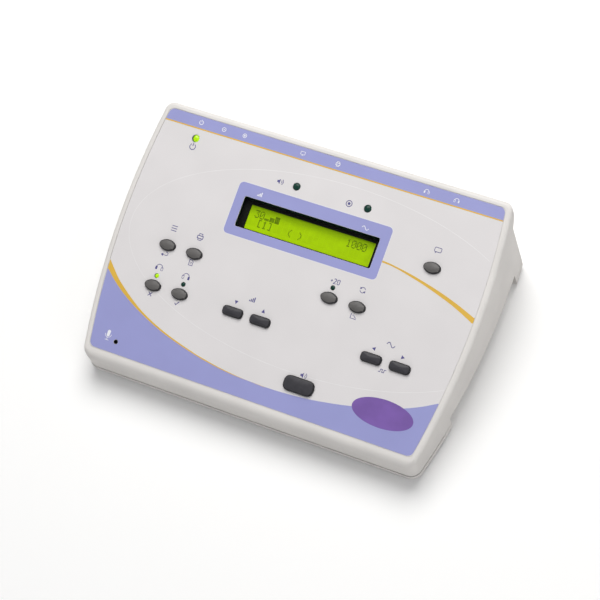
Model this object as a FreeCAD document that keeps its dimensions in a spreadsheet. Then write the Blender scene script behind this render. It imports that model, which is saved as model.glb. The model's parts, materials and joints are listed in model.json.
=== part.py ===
import FreeCAD, Part
import math
import os

import Sketcher

Vector = FreeCAD.Vector

# A desk audiometer: a wedge-shaped case of two moulded shells with bowed sides, a printed control
# overlay, a character display, twelve keys and a rear connector panel under an overhanging lip.
#
# Frame: +X to the user's right, +Y to the rear, +Z up, origin under the middle of the case where
# its feet stand. Lengths are millimetres. Everything on the control panel is modelled in the
# panel's own frame, x to the right, y up the slope and z out of the panel, with the origin at the
# middle of the overlay, and is then set on the slope by its Placement.

doc = FreeCAD.newDocument("audiometer")

# ---------------------------------------------------------------- driving dimensions

DIMENSIONS = {
    # case
    "case_width": 260.0,
    "case_depth": 173.0,
    "case_height": 70.0,
    "front_height": 24.0,
    "foot_lift": 1.5,
    "side_radius": 490.0,
    "side_apex": 13.0,
    "front_corner": 7.5,
    "rear_corner": 6.0,
    "front_round": 5.5,
    "top_round": 2.4,
    "foot_chamfer": 1.2,
    "wall": 2.5,
    "panel_thickness": 3.2,
    "floor_thickness": 2.5,
    "parting_height": 7.2,
    "parting_gap": 0.6,
    "lip_depth": 10.0,
    "lip_face": 8.0,
    "lip_round": 1.5,
    "tongue_height": 2.4,
    "tongue_thickness": 1.2,
    "tongue_clearance": 0.15,
    # finger grips in the sides
    "grip_depth": 7.0,
    "grip_height": 15.0,
    "grip_front_inset": 42.5,
    "grip_rear_inset": 14.5,
    "grip_corner": 5.0,
    # overlay and display
    "rim_front": 6.6,
    "rim_rear": 4.5,
    "rim_side": 4.0,
    "overlay_recess": 0.6,
    "overlay_thickness": 0.4,
    "overlay_gap": 0.25,
    "overlay_corner": 3.8,
    "window_width": 98.0,
    "window_height": 20.8,
    "window_y": 31.5,
    "window_corner": 1.2,
    "lens_margin": 3.0,
    "lens_thickness": 1.5,
    "lens_clearance": 0.2,
    "ledge": 1.0,
    "view_width": 89.0,
    "view_height": 15.0,
    "view_y": 29.7,
    "glass_depth": 6.0,
    "glass_margin_x": 4.5,
    "glass_margin_y": 3.0,
    "glass_thickness": 2.3,
    "backlight_thickness": 2.2,
    "frame_wall": 0.8,
    "frame_gap": 0.1,
    "module_width": 118.0,
    "module_height": 36.0,
    "module_hole_inset": 2.8,
    "board_thickness": 1.6,
    "spacer_outer": 2.8,
    "spacer_bore": 1.4,
    # keys
    "key_pitch": 20.0,
    "menu_x": -88.6,
    "level_x": -29.0,
    "boost_x": 30.0,
    "present_x": 31.0,
    "tone_x": 70.4,
    "talk_x": 88.3,
    "upper_row": -4.7,
    "lower_row": -32.9,
    "present_y": -64.2,
    "talk_y": 33.7,
    "eye_half_length": 6.6,
    "eye_half_height": 3.65,
    "bar_half_length": 7.1,
    "bar_half_height": 3.05,
    "bar_corner": 2.7,
    "present_half_length": 10.5,
    "present_half_height": 4.9,
    "present_corner": 4.4,
    "key_rise": 2.2,
    "key_crown": 0.9,
    "key_gap": 0.3,
    "key_travel": 0.9,
    "flange_width": 0.8,
    "flange_thickness": 1.0,
    "flange_gap": 0.25,
    "stem_half_width": 1.7,
    "switch_side": 6.0,
    "switch_body": 3.6,
    "switch_height": 6.8,
    "switch_button": 3.0,
    "switch_gap": 0.3,
    # lamps and microphone
    "lamp_radius": 2.5,
    "lamp_crown": 1.1,
    "lamp_length": 8.6,
    "lamp_rise": 0.9,
    "small_lamp_radius": 1.5,
    "small_lamp_crown": 0.7,
    "small_lamp_length": 7.3,
    "small_lamp_rise": 0.5,
    "lamp_gap": 0.15,
    "lead_side": 0.5,
    "lead_spread": 1.27,
    "power_lamp_side_inset": 33.6,
    "power_lamp_rear_inset": 15.5,
    "present_lamp_x": -17.2,
    "response_lamp_x": 34.0,
    "tone_lamp_y": 57.6,
    "small_lamp_offset": 6.9,
    "microphone_side_inset": 30.2,
    "microphone_front_inset": 8.0,
    "microphone_hole": 1.6,
    "microphone_radius": 4.85,
    "sound_hole": 1.0,
    "sound_hole_depth": 0.6,
    "microphone_length": 5.0,
    "boot_wall": 1.3,
    "boot_fit": 0.1,
    "boot_floor": 1.0,
    "collar_wall": 1.5,
    "collar_height": 5.0,
    "microphone_setback": 0.4,
    # control board and what holds it
    "board_depth": 17.0,
    "board_side_inset": 25.0,
    "board_front_inset": 13.0,
    "board_rear_inset": 22.0,
    "stud_radius": 3.4,
    "stud_pilot": 1.25,
    "stud_pilot_depth": 8.0,
    "rear_stud_side_inset": 32.0,
    "rear_stud_inset": 10.0,
    "front_stud_side_inset": 31.0,
    "front_stud_inset": 15.0,
    "middle_stud_x": 50.0,
    "middle_stud_y": -19.0,
    "board_screw_radius": 1.2,
    "board_screw_head": 2.5,
    "board_screw_head_height": 1.8,
    "board_screw_length": 8.0,
    "board_nut_height": 1.6,
    "chip_height": 2.0,
    "chip_side": 12.0,
    # screws that join the shells
    "post_side_inset": 18.5,
    "post_front_inset": 18.5,
    "post_rear_inset": 17.5,
    "post_radius": 4.2,
    "post_top": 15.0,
    "insert_radius": 2.3,
    "insert_length": 5.0,
    "screw_radius": 1.5,
    "screw_clearance": 0.2,
    "screw_head": 2.75,
    "screw_head_height": 2.0,
    "screw_recess": 3.3,
    "screw_seat": 6.2,
    "screw_tip_gap": 0.4,
    "insert_fit": 0.05,
    # feet
    "foot_half_width": 6.0,
    "foot_socket": 0.8,
    "foot_side_inset": 33.0,
    "foot_front_inset": 24.5,
    "foot_rear_inset": 24.5,
    # rear panel and connectors
    "panel_side_inset": 20.0,
    "panel_top_gap": 6.0,
    "panel_rib_gap": 0.2,
    "panel_rib_thickness": 1.6,
    "panel_rib_height": 5.0,
    "panel_rib_x": 66.0,
    "panel_rib_length": 24.0,
    "rear_panel_thickness": 2.0,
    "rear_opening_side_inset": 24.0,
    "rear_opening_bottom": 12.0,
    "rear_opening_margin": 4.0,
    "rear_opening_corner": 3.0,
    "socket_height": 21.0,
    "socket_gap": 0.2,
    "jack_width": 15.6,
    "jack_length": 20.0,
    "jack_end_wall": 2.5,
    "jack_collar": 4.6,
    "jack_bore": 3.2,
    "jack_nut": 5.8,
    "jack_nut_thickness": 2.0,
    "jack_reach": 4.0,
    "socket_reach": 0.5,
    "response_jack_step": 17.0,
    "jack_side_inset": 18.0,
    "jack_pitch": 20.0,
    "power_socket_step": 16.0,
    "power_socket_width": 9.0,
    "power_socket_height": 11.0,
    "power_socket_length": 13.0,
    "power_socket_nose": 4.2,
    "power_socket_bore": 3.0,
    "power_socket_depth": 9.5,
    "power_socket_pin": 0.9,
    "power_pin_setback": 1.5,
    "usb_x": -21.0,
    "usb_width": 12.0,
    "usb_height": 11.0,
    "usb_length": 16.0,
    "usb_mouth_width": 8.6,
    "usb_mouth_height": 7.9,
    "usb_mouth_bevel": 1.6,
    "usb_mouth_depth": 9.0,
    "usb_tongue_setback": 1.0,
    "usb_tongue_width": 5.6,
    "usb_tongue_height": 3.2,
    "printer_x": 4.5,
    "printer_width": 14.0,
    "printer_height": 13.0,
    "printer_length": 12.6,
    "printer_bore": 4.75,
    "printer_core": 3.8,
    "printer_depth": 6.0,
    "printer_pin": 0.5,
    "printer_pin_circle": 2.6,
    "switch_side_inset": 10.0,
    "switch_z": 26.5,
    "rocker_frame_width": 15.0,
    "rocker_frame_height": 21.0,
    "rocker_frame_thickness": 1.5,
    "rocker_body_width": 13.0,
    "rocker_body_height": 19.0,
    "rocker_body_length": 15.0,
    "rocker_width": 9.4,
    "rocker_radius": 7.4,
    "rocker_rise": 3.0,
    "rocker_waist": 1.7,
    "rocker_back": 1.5,
    "rocker_pivot_depth": 1.0,
    "rocker_gap": 0.3,
    "rocker_well": 4.0,
    "rocker_pin": 1.2,
    "rocker_pin_length": 1.0,
    "rocker_pin_fit": 0.05,
    "rocker_tilt": 10.0,
    "blade_width": 4.8,
    "blade_thickness": 0.8,
    "blade_length": 7.0,
    "blade_pitch": 11.0,
    # connector board
    "shelf_side_inset": 25.5,
    "shelf_depth": 42.8,
    "shelf_bottom": 11.0,
    "shelf_post_radius": 3.0,
    "shelf_screw_length": 5.0,
    "capacitor_radius": 4.0,
    "capacitor_height": 10.0,
    "capacitor_x": -76.0,
    "capacitor_inset": 15.0,
    "shelf_chip_x": 24.0,
    "shelf_chip_length": 14.0,
    "shelf_outer_post_inset": 5.5,
    "shelf_front_post_inset": 5.0,
    "shelf_inner_post_x": 33.0,
    "shelf_rear_post_inset": 7.5,
    # ribbon between the boards
    "ribbon_x": -20.0,
    "ribbon_width": 26.0,
    "ribbon_thickness": 0.9,
    "ribbon_rear_inset": 26.0,
    "header_length": 32.0,
    "header_width": 6.0,
    "header_height": 6.0,
}

sheet = doc.addObject("Spreadsheet::Sheet", "Sizes")
for row, (alias, number) in enumerate(DIMENSIONS.items(), start=1):
    sheet.set("A%d" % row, alias)
    sheet.set("B%d" % row, str(number))
    sheet.setAlias("B%d" % row, alias)
doc.recompute()


class Size:
    """A length with the sheet formula that gives it, so that one formula serves both uses."""

    def __init__(self, number, text):
        self.number = float(number)
        self.text = text

    def __add__(self, other):
        return joined(self, "+", other, self.number + plain(other))

    def __radd__(self, other):
        return joined(other, "+", self, plain(other) + self.number)

    def __sub__(self, other):
        return joined(self, "-", other, self.number - plain(other))

    def __rsub__(self, other):
        return joined(other, "-", self, plain(other) - self.number)

    def __mul__(self, other):
        return joined(self, "*", other, self.number * plain(other))

    def __rmul__(self, other):
        return joined(other, "*", self, plain(other) * self.number)

    def __truediv__(self, other):
        return joined(self, "/", other, self.number / plain(other))

    def __neg__(self):
        return Size(-self.number, "(0 - %s)" % self.text)


def plain(value):
    return value.number if isinstance(value, Size) else float(value)


def text_of(value):
    return value.text if isinstance(value, Size) else repr(float(value))


def joined(left, sign, right, number):
    return Size(number, "(%s %s %s)" % (text_of(left), sign, text_of(right)))


def root(value):
    return Size(math.sqrt(value.number), "sqrt(%s)" % value.text)


def dim(alias):
    """A driving dimension, read from the sheet."""
    return Size(float(sheet.get(alias)), "Sizes.%s" % alias)


def bind(thing, path, value):
    """Set a property from a size, tied to the sheet."""
    if isinstance(value, Size):
        thing.setExpression(path, value.text)
    else:
        setattr(thing, path, value)


# ---------------------------------------------------------------- derived places

case_front = -dim("case_depth") / 2
case_rear = dim("case_depth") / 2
# The control panel runs from the front edge to the rear edge of the case.
slope_run = dim("case_depth")
slope_rise = dim("case_height") - dim("front_height")
slope_length = root(slope_run * slope_run + slope_rise * slope_rise)
slope_cos = slope_run / slope_length
slope_sin = slope_rise / slope_length
overlay_length = slope_length - dim("rim_front") - dim("rim_rear")
overlay_rear = overlay_length / 2
overlay_front = -overlay_length / 2
# The panel frame's origin lies on the slope, in the middle of the overlay.
origin_along = overlay_length / 2 + dim("rim_front")
origin_y = case_front + origin_along * slope_cos
origin_z = dim("front_height") + origin_along * slope_sin
rear_wall_y = case_rear - dim("lip_depth")
case_side = dim("case_width") / 2
floor_top = dim("foot_lift") + dim("floor_thickness")
plate_bottom = -dim("panel_thickness")
through = (-dim("panel_thickness") * 2, dim("panel_thickness"))
board_top = -dim("board_depth")
board_bottom = board_top - dim("board_thickness")
board_side = case_side - dim("board_side_inset")
board_front = overlay_front + dim("board_front_inset")
board_rear = overlay_rear - dim("board_rear_inset")


def on_slope(thing, x=0.0, y=0.0, z=0.0):
    """Set a thing modelled in the panel's frame on the slope, at a place given in that frame."""
    slope = slope_rise / slope_run
    angle = math.degrees(math.atan(slope.number))
    thing.Placement = FreeCAD.Placement(Vector(), FreeCAD.Rotation(Vector(1, 0, 0), angle))
    thing.setExpression("Placement.Rotation.Angle", "atan(%s)" % slope.text)
    place(thing, x, origin_y + y * slope_cos - z * slope_sin, origin_z + y * slope_sin + z * slope_cos)
    return thing


def slope_height(y):
    """Height of the control panel above the table at a distance y from the middle."""
    return dim("front_height") + (y - case_front) * slope_rise / slope_run


def side_x(y, inset=0.0):
    """Half width of the bowed case at y, less an inset."""
    away = y - dim("side_apex")
    radius = dim("side_radius")
    return dim("case_width") / 2 - radius + root(radius * radius - away * away) - inset


# ---------------------------------------------------------------- building blocks


def box(name, x, y, z):
    """Block between pairs of coordinates."""
    solid = doc.addObject("Part::Box", name)
    bind(solid, "Length", x[1] - x[0])
    bind(solid, "Width", y[1] - y[0])
    bind(solid, "Height", z[1] - z[0])
    place(solid, x[0], y[0], z[0])
    return solid


def centred(middle, width):
    return (middle - width / 2, middle + width / 2)


def grown(span, amount):
    return (span[0] - amount, span[1] + amount)


def place(thing, x, y, z):
    for axis, value in zip("xyz", (x, y, z)):
        if isinstance(value, Size):
            thing.setExpression("Placement.Base.%s" % axis, value.text)
        else:
            thing.setExpression("Placement.Base.%s" % axis, repr(float(value)))


def rod(name, radius, x, y, z):
    """Cylinder along z between a pair of heights."""
    bar = doc.addObject("Part::Cylinder", name)
    bind(bar, "Radius", radius)
    bind(bar, "Height", z[1] - z[0])
    place(bar, x, y, z[0])
    return bar


# Share of a hexagon's corner radius at which its flats lie.
FLAT_SHARE = math.cos(math.radians(30))


def hexagon(name, radius, x, y, z):
    """Six-sided bar along z between a pair of heights, with its flats at the radius."""
    bar = doc.addObject("Part::Prism", name)
    bar.Polygon = 6
    bind(bar, "Circumradius", radius / FLAT_SHARE)
    bind(bar, "Height", z[1] - z[0])
    place(bar, x, y, z[0])
    return bar


def hexagon_along_y(name, radius, x, y, z):
    """Six-sided bar along y between a pair of distances, with its flats at the radius."""
    bar = hexagon(name, radius, x, y[0], (z, z + y[1] - y[0]))
    bar.Placement = FreeCAD.Placement(Vector(), FreeCAD.Rotation(Vector(1, 0, 0), -90))
    place(bar, x, y[0], z)
    return bar


def rod_along_y(name, radius, x, y, z):
    """Cylinder along y between a pair of distances."""
    bar = doc.addObject("Part::Cylinder", name)
    bind(bar, "Radius", radius)
    bind(bar, "Height", y[1] - y[0])
    bar.Placement = FreeCAD.Placement(Vector(), FreeCAD.Rotation(Vector(1, 0, 0), -90))
    place(bar, x, y[0], z)
    return bar


def union(name, parts):
    if len(parts) == 1:
        return parts[0]
    joint = doc.addObject("Part::MultiFuse", name)
    joint.Shapes = parts
    return joint


def cut(name, base, tools):
    result = doc.addObject("Part::Cut", name)
    result.Base = base
    result.Tool = union(name + "_tools", tools)
    return result


def common(name, first, second):
    result = doc.addObject("Part::MultiCommon", name)
    result.Shapes = [first, second]
    return result


def group(name, parts):
    """Identical loose pieces kept together as one compound."""
    result = doc.addObject("Part::Compound", name)
    result.Links = parts
    return result


def new_body(name):
    return doc.addObject("PartDesign::Body", name)


def plane_of(body, role):
    return next(feature for feature in body.Origin.OriginFeatures if feature.Role == role)


def new_sketch(body, name, role, offset=None):
    sketch = body.newObject("Sketcher::SketchObject", name)
    sketch.AttachmentSupport = [(plane_of(body, role), "")]
    sketch.MapMode = "FlatFace"
    if offset is not None:
        sketch.setExpression("AttachmentOffset.Base.z", text_of(offset))
    return sketch


def outline(sketch, corners, bows=None):
    """Closed outline, anticlockwise through the corners.

    bows gives the radius of a curved side, keyed by the corner where it starts: above zero it
    bows outward, and below zero inward.
    """
    bows = bows or {}
    spots = [Vector(plain(x), plain(y), 0) for x, y in corners]
    first = sketch.GeometryCount
    ends = []
    for index, start in enumerate(spots):
        end = spots[(index + 1) % len(spots)]
        inward = index in bows and plain(bows[index]) < 0
        ends.append((2, 1) if inward else (1, 2))
        if index in bows:
            sketch.addGeometry(bowed(start, end, plain(bows[index])), False)
        else:
            sketch.addGeometry(Part.LineSegment(start, end), False)
    for index, (x, y) in enumerate(corners):
        edge = first + index
        previous = (index - 1) % len(corners)
        sketch.addConstraint(
            Sketcher.Constraint("Coincident", first + previous, ends[previous][1], edge, ends[index][0])
        )
        hold(sketch, ("DistanceX", -1, 1, edge, ends[index][0]), x)
        hold(sketch, ("DistanceY", -1, 1, edge, ends[index][0]), y)
        if index in bows:
            radius = bows[index]
            hold(sketch, ("Radius", edge), -radius if plain(radius) < 0 else radius)
    return sketch


def hold(sketch, what, value):
    """Add a constraint whose value is tied to the sheet."""
    number = sketch.addConstraint(Sketcher.Constraint(*what, plain(value)))
    sketch.setExpression("Constraints[%d]" % number, text_of(value))


def bowed(start, end, radius):
    """Arc from start to end that bows to the right of the way, or to the left below zero."""
    chord = end - start
    outward = Vector(chord.y, -chord.x, 0).normalize()
    rise = abs(radius) - math.sqrt(radius * radius - chord.Length * chord.Length / 4)
    if radius < 0:
        return Part.Arc(end, (start + end) / 2 - outward * rise, start)
    return Part.Arc(start, (start + end) / 2 + outward * rise, end)


def rectangle(sketch, x, y):
    outline(sketch, [(x[0], y[0]), (x[1], y[0]), (x[1], y[1]), (x[0], y[1])])


def pad(body, sketch, length, name):
    feature = body.newObject("PartDesign::Pad", name)
    feature.Profile = sketch
    bind(feature, "Length", length)
    return feature


def pocket_through(body, sketch, name):
    """Cut a sketch right through the body, to both sides of its plane."""
    feature = body.newObject("PartDesign::Pocket", name)
    feature.Profile = sketch
    feature.Type = "ThroughAll"
    feature.Midplane = True
    return feature


def edges_where(shape, wanted):
    names = []
    for number, edge in enumerate(shape.Edges, start=1):
        if wanted(edge):
            names.append("Edge%d" % number)
    return names


def is_upright(edge):
    start, end = edge.Vertexes[0].Point, edge.Vertexes[-1].Point
    return abs(start.z - end.z) > 0.1 and abs(start.x - end.x) + abs(start.y - end.y) < 1e-6


def round_edges(body, base, wanted, radius, name):
    """Fillet those edges of the body's last feature that the test wanted picks."""
    doc.recompute()
    feature = body.newObject("PartDesign::Fillet", name)
    feature.Base = (base, edges_where(base.Shape, wanted))
    bind(feature, "Radius", radius)
    return feature


# ---------------------------------------------------------------- the case form


def bowed_block(name, inset, z, corner_front, corner_rear):
    """Upright block with the case's bowed plan, drawn in by an inset."""
    body = new_body(name)
    front = case_front + inset
    rear = case_rear - inset
    plan = new_sketch(body, name + "_plan", "XY_Plane", z[0])
    outline(
        plan,
        [
            (-side_x(case_front, inset), front),
            (side_x(case_front, inset), front),
            (side_x(case_rear, inset), rear),
            (-side_x(case_rear, inset), rear),
        ],
        {1: dim("side_radius"), 3: dim("side_radius")},
    )
    corners = pad(body, plan, z[1] - z[0], name + "_block")
    for where, radius in (("front", corner_front), ("rear", corner_rear)):
        sign = -1 if where == "front" else 1
        corners = round_edges(
            body, corners, lambda edge: is_upright(edge) and edge.CenterOfMass.y * sign > 0,
            radius, "%s_%s_corners" % (name, where),
        )
    return body


def wedge(name, inset, top_inset, bottom, corner_front, corner_rear):
    """The outer form of the case, drawn in by insets: a bowed plan under the panel's slope."""
    body = bowed_block(name, inset, (bottom, dim("case_height")), corner_front, corner_rear)
    # Everything above the sloping panel comes off.
    beyond = dim("case_depth")
    slope = new_sketch(body, name + "_slope", "YZ_Plane")
    outline(
        slope,
        [
            (-beyond, slope_height(-beyond) - top_inset),
            (beyond, slope_height(beyond) - top_inset),
            (beyond, slope_height(beyond) + beyond),
            (-beyond, slope_height(beyond) + beyond),
        ],
    )
    pocket_through(body, slope, name + "_slope_cut")
    # Under the rear lip the rear wall stands back.
    under = new_sketch(body, name + "_under", "YZ_Plane")
    lip_edge = dim("case_height") - dim("lip_face")
    lip_root = lip_edge - dim("lip_depth")
    rise = inset * LIP_MITRE
    outline(
        under,
        [
            (rear_wall_y - inset, -beyond),
            (beyond, -beyond),
            (beyond, lip_edge + rise),
            (case_rear - inset, lip_edge + rise),
            (rear_wall_y - inset, lip_root + rise),
        ],
    )
    pocket_through(body, under, name + "_under_cut")
    return body


# A lip that slopes at 45 degrees keeps its wall when the corner is raised by tan(22.5) of it.
LIP_MITRE = math.tan(math.radians(22.5))


outer_form = wedge("outer_form", 0.0, 0.0, dim("foot_lift"), dim("front_corner"), dim("rear_corner"))


def case_edge_radii(edge):
    """Radii at the two ends of an edge of the case form, or None where it stays sharp."""
    ends = [edge.valueAt(edge.FirstParameter), edge.valueAt(edge.LastParameter)]
    middle = edge.CenterOfMass
    near = 0.01
    on_slope = all(abs(end.z - plain(slope_height(end.y))) < near for end in ends)
    if on_slope:
        return [
            plain(dim("front_round")) if abs(end.y - plain(case_front)) < near else plain(dim("top_round"))
            for end in ends
        ]
    lip_edge = plain(dim("case_height") - dim("lip_face"))
    if abs(middle.z - lip_edge) < near and abs(middle.y - plain(case_rear)) < near:
        return [plain(dim("lip_round"))] * 2
    return None


doc.recompute()
rounded_form = doc.addObject("Part::Fillet", "rounded_form")
rounded_form.Base = outer_form
rounded_form.Edges = [
    (number, *case_edge_radii(edge))
    for number, edge in enumerate(outer_form.Shape.Edges, start=1)
    if case_edge_radii(edge)
]


def is_lowest(edge):
    ends = (edge.FirstParameter, (edge.FirstParameter + edge.LastParameter) / 2, edge.LastParameter)
    return all(abs(edge.valueAt(end).z - plain(dim("foot_lift"))) < 0.01 for end in ends)


doc.recompute()
case_form = doc.addObject("Part::Chamfer", "case_form")
case_form.Base = rounded_form
case_form.Edges = [
    (number, *[plain(dim("foot_chamfer"))] * 2)
    for number, edge in enumerate(rounded_form.Shape.Edges, start=1)
    if is_lowest(edge)
]

plate_drop = dim("panel_thickness") / slope_cos
cavity_form = wedge(
    "cavity_form", dim("wall"), plate_drop, floor_top,
    dim("front_corner") - dim("wall"), dim("rear_corner") - dim("wall"),
)


def grip(name, sign, grow):
    """Scoop for the fingers in one side of the case; grow makes the plain block that backs it."""
    body = new_body(name)
    front = case_front + dim("grip_front_inset") - grow
    rear = rear_wall_y - dim("grip_rear_inset") + grow
    depth = dim("grip_depth") + grow
    beyond = dim("case_width") / 2 + dim("grip_depth")
    inner = [(side_x(front, depth), front), (side_x(rear, depth), rear)]
    radius = dim("side_radius")
    plan = new_sketch(body, name + "_plan", "XY_Plane", 0.0)
    if sign > 0:
        outline(plan, [inner[0], (beyond, front), (beyond, rear), inner[1]], {3: -radius})
    else:
        mirrored = [(-x, y) for x, y in inner]
        outline(plan, [mirrored[1], (-beyond, rear), (-beyond, front), mirrored[0]], {3: -radius})
    solid = pad(body, plan, dim("grip_height") + grow, name + "_block")
    if plain(grow) > 0:
        return body

    def is_inner(edge):
        return abs(edge.CenterOfMass.x) < plain(beyond) - plain(dim("grip_depth")) / 2

    round_edges(
        body, solid, lambda edge: is_upright(edge) and is_inner(edge),
        dim("grip_corner"), name + "_ends",
    )
    return body


right_grip = grip("right_grip", 1, 0.0)
left_grip = grip("left_grip", -1, 0.0)
right_backing = grip("right_grip_backing", 1, dim("wall"))
left_backing = grip("left_grip_backing", -1, dim("wall"))
hollow = cut("hollow", cavity_form, [right_backing, left_backing])

# ---------------------------------------------------------------- panel layout

EYE = "eye"
BAR = "bar"
WIDE = "wide"

KEYS = {
    "key_menu": (EYE, dim("menu_x"), dim("upper_row")),
    "key_print": (EYE, dim("menu_x") + dim("key_pitch"), dim("upper_row")),
    "key_left": (EYE, dim("menu_x"), dim("lower_row")),
    "key_right": (EYE, dim("menu_x") + dim("key_pitch"), dim("lower_row")),
    "key_boost": (EYE, dim("boost_x"), dim("upper_row")),
    "key_auto": (EYE, dim("boost_x") + dim("key_pitch"), dim("upper_row")),
    "key_talk": (EYE, dim("talk_x"), dim("talk_y")),
    "key_level_down": (BAR, dim("level_x"), dim("lower_row")),
    "key_level_up": (BAR, dim("level_x") + dim("key_pitch"), dim("lower_row")),
    "key_tone_down": (BAR, dim("tone_x"), dim("lower_row")),
    "key_tone_up": (BAR, dim("tone_x") + dim("key_pitch"), dim("lower_row")),
    "key_present": (WIDE, dim("present_x"), dim("present_y")),
}

LAMPS = {
    "lamp_power": (dim("power_lamp_side_inset") - case_side, overlay_rear - dim("power_lamp_rear_inset")),
    "lamp_present": (dim("present_lamp_x"), dim("tone_lamp_y")),
    "lamp_response": (dim("response_lamp_x"), dim("tone_lamp_y")),
}

SMALL_LAMPS = {
    "lamp_left": (dim("menu_x"), dim("lower_row") + dim("small_lamp_offset")),
    "lamp_right": (dim("menu_x") + dim("key_pitch"), dim("lower_row") + dim("small_lamp_offset")),
    "lamp_boost": (dim("boost_x"), dim("upper_row") + dim("small_lamp_offset")),
}

STUDS = [
    (side * x, y)
    for x, y in (
        (case_side - dim("rear_stud_side_inset"), board_rear - dim("rear_stud_inset")),
        (case_side - dim("front_stud_side_inset"), board_front + dim("front_stud_inset")),
        (dim("middle_stud_x"), dim("middle_stud_y")),
    )
    for side in (-1, 1)
]

MODULE_HOLES = [
    (
        across * (dim("module_width") / 2 - dim("module_hole_inset")),
        dim("view_y") + along * (dim("module_height") / 2 - dim("module_hole_inset")),
    )
    for across in (-1, 1)
    for along in (-1, 1)
]


def key_sketch(body, name, kind, grow, height):
    """Outline of a key cap, grown all round: a pointed oval or a bar."""
    sketch = new_sketch(body, name, "XY_Plane", height)
    if kind == EYE:
        length = dim("eye_half_length") + grow
        rise = dim("eye_half_height") + grow
        radius = (length * length + rise * rise) / (2 * rise)
        outline(sketch, [(-length, 0.0), (length, 0.0)], {0: radius, 1: radius})
    else:
        length, rise = key_half_size(kind)
        rectangle(sketch, (-length - grow, length + grow), (-rise - grow, rise + grow))
    return sketch


def round_corners(body, solid, kind, grow, name):
    """Round the corners of a bar; a pointed oval keeps its tips."""
    if kind == EYE:
        return solid
    corner = dim("bar_corner" if kind == BAR else "present_corner")
    return round_edges(body, solid, is_upright, corner + grow, name)


def key_opening(name, kind, x, y):
    """Block of the key's outline that cuts its opening through the overlay."""
    body = new_body(name)
    gap = dim("key_gap")
    reach = dim("panel_thickness") * 2
    solid = pad(body, key_sketch(body, name + "_outline", kind, gap, -reach), reach * 2, name + "_block")
    round_corners(body, solid, kind, gap, name + "_corners")
    place(body, x, y, 0.0)
    return body


def key_half_size(kind):
    stem = {EYE: "eye", BAR: "bar", WIDE: "present"}[kind]
    return dim(stem + "_half_length"), dim(stem + "_half_height")


def key_slot(name, kind, x, y):
    """Rectangular slot through the housing's plate, under the overlay's opening."""
    length, rise = key_half_size(kind)
    gap = dim("key_gap")
    return box(name, grown((x - length, x + length), gap), grown((y - rise, y + rise), gap), through)


flange_top = plate_bottom - dim("flange_gap")
flange_bottom = flange_top - dim("flange_thickness")
switch_top = board_top + dim("switch_height")
stem_bottom = switch_top + dim("switch_gap") + dim("key_travel")


def key(name, kind, x, y):
    """Moulded cap with a flange that holds it under the panel and a square stem over its switch."""
    body = new_body(name)
    cap = pad(body, key_sketch(body, name + "_cap", kind, 0.0, flange_top), dim("key_rise") - flange_top,
              name + "_cap_pad")
    corners = round_corners(body, cap, kind, 0.0, name + "_corners")
    top = plain(dim("key_rise"))
    doc.recompute()
    crown = body.newObject("PartDesign::Chamfer", name + "_crown")
    crown.Base = (corners, edges_where(
        corners.Shape, lambda edge: all(abs(end.Point.z - top) < 0.001 for end in edge.Vertexes)
    ))
    bind(crown, "Size", dim("key_crown"))
    length, rise = key_half_size(kind)
    flange = new_sketch(body, name + "_flange", "XY_Plane", flange_bottom)
    rim = dim("flange_width")
    rectangle(flange, grown((-length, length), rim), grown((-rise, rise), rim))
    pad(body, flange, dim("flange_thickness"), name + "_flange_pad")
    stem = new_sketch(body, name + "_stem", "XY_Plane", stem_bottom)
    half = dim("stem_half_width")
    rectangle(stem, (-half, half), (-half, half))
    pad(body, stem, flange_bottom - stem_bottom, name + "_stem_pad")
    return on_slope(body, x, y)


# ---------------------------------------------------------------- control overlay


def panel_sheet(name, side_gap, bottom, thickness):
    """Bowed sheet of the overlay's outline, drawn in by a gap all round."""
    body = new_body(name)
    sheet_sketch = new_sketch(body, name + "_outline", "XY_Plane", bottom)
    front = overlay_front + side_gap
    rear = overlay_rear - side_gap
    inset = dim("rim_side") + side_gap
    # Measured up the slope the bow of the sides is longer, so its radius is larger.
    radius = dim("side_radius") / (slope_cos * slope_cos)
    front_x = side_x(origin_y + front * slope_cos, inset)
    rear_x = side_x(origin_y + rear * slope_cos, inset)
    outline(
        sheet_sketch,
        [(-front_x, front), (front_x, front), (rear_x, rear), (-rear_x, rear)],
        {1: radius, 3: radius},
    )
    solid = pad(body, sheet_sketch, thickness, name + "_pad")
    round_edges(body, solid, is_upright, dim("overlay_corner") - side_gap, name + "_corners")
    return body


def block(name, x, y, z):
    """Upright block whose place is held by its sketch, so that it can be set on the slope."""
    body = new_body(name)
    sketch = new_sketch(body, name + "_outline", "XY_Plane", z[0])
    rectangle(sketch, x, y)
    pad(body, sketch, z[1] - z[0], name + "_pad")
    return body


def rounded_block(name, x, y, z, radius):
    """Upright block with rounded corners."""
    body = block(name, x, y, z)
    round_edges(body, body.Tip, is_upright, radius, name + "_corners")
    return body


recess_floor = -dim("overlay_recess")
window_x = centred(Size(0, "0"), dim("window_width"))
window_y = centred(dim("window_y"), dim("window_height"))

overlay_blank = panel_sheet("overlay_blank", dim("overlay_gap"), recess_floor, dim("overlay_thickness"))
overlay_tools = [rounded_block("overlay_window", window_x, window_y, through, dim("window_corner"))]
overlay_tools += [
    key_opening(name + "_overlay_hole", kind, x, y) for name, (kind, x, y) in KEYS.items()
]
lamp_hole = dim("lamp_radius") + dim("lamp_gap")
small_lamp_hole = dim("small_lamp_radius") + dim("lamp_gap")


microphone_spot = (
    dim("microphone_side_inset") - case_side, overlay_front + dim("microphone_front_inset")
)


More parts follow.
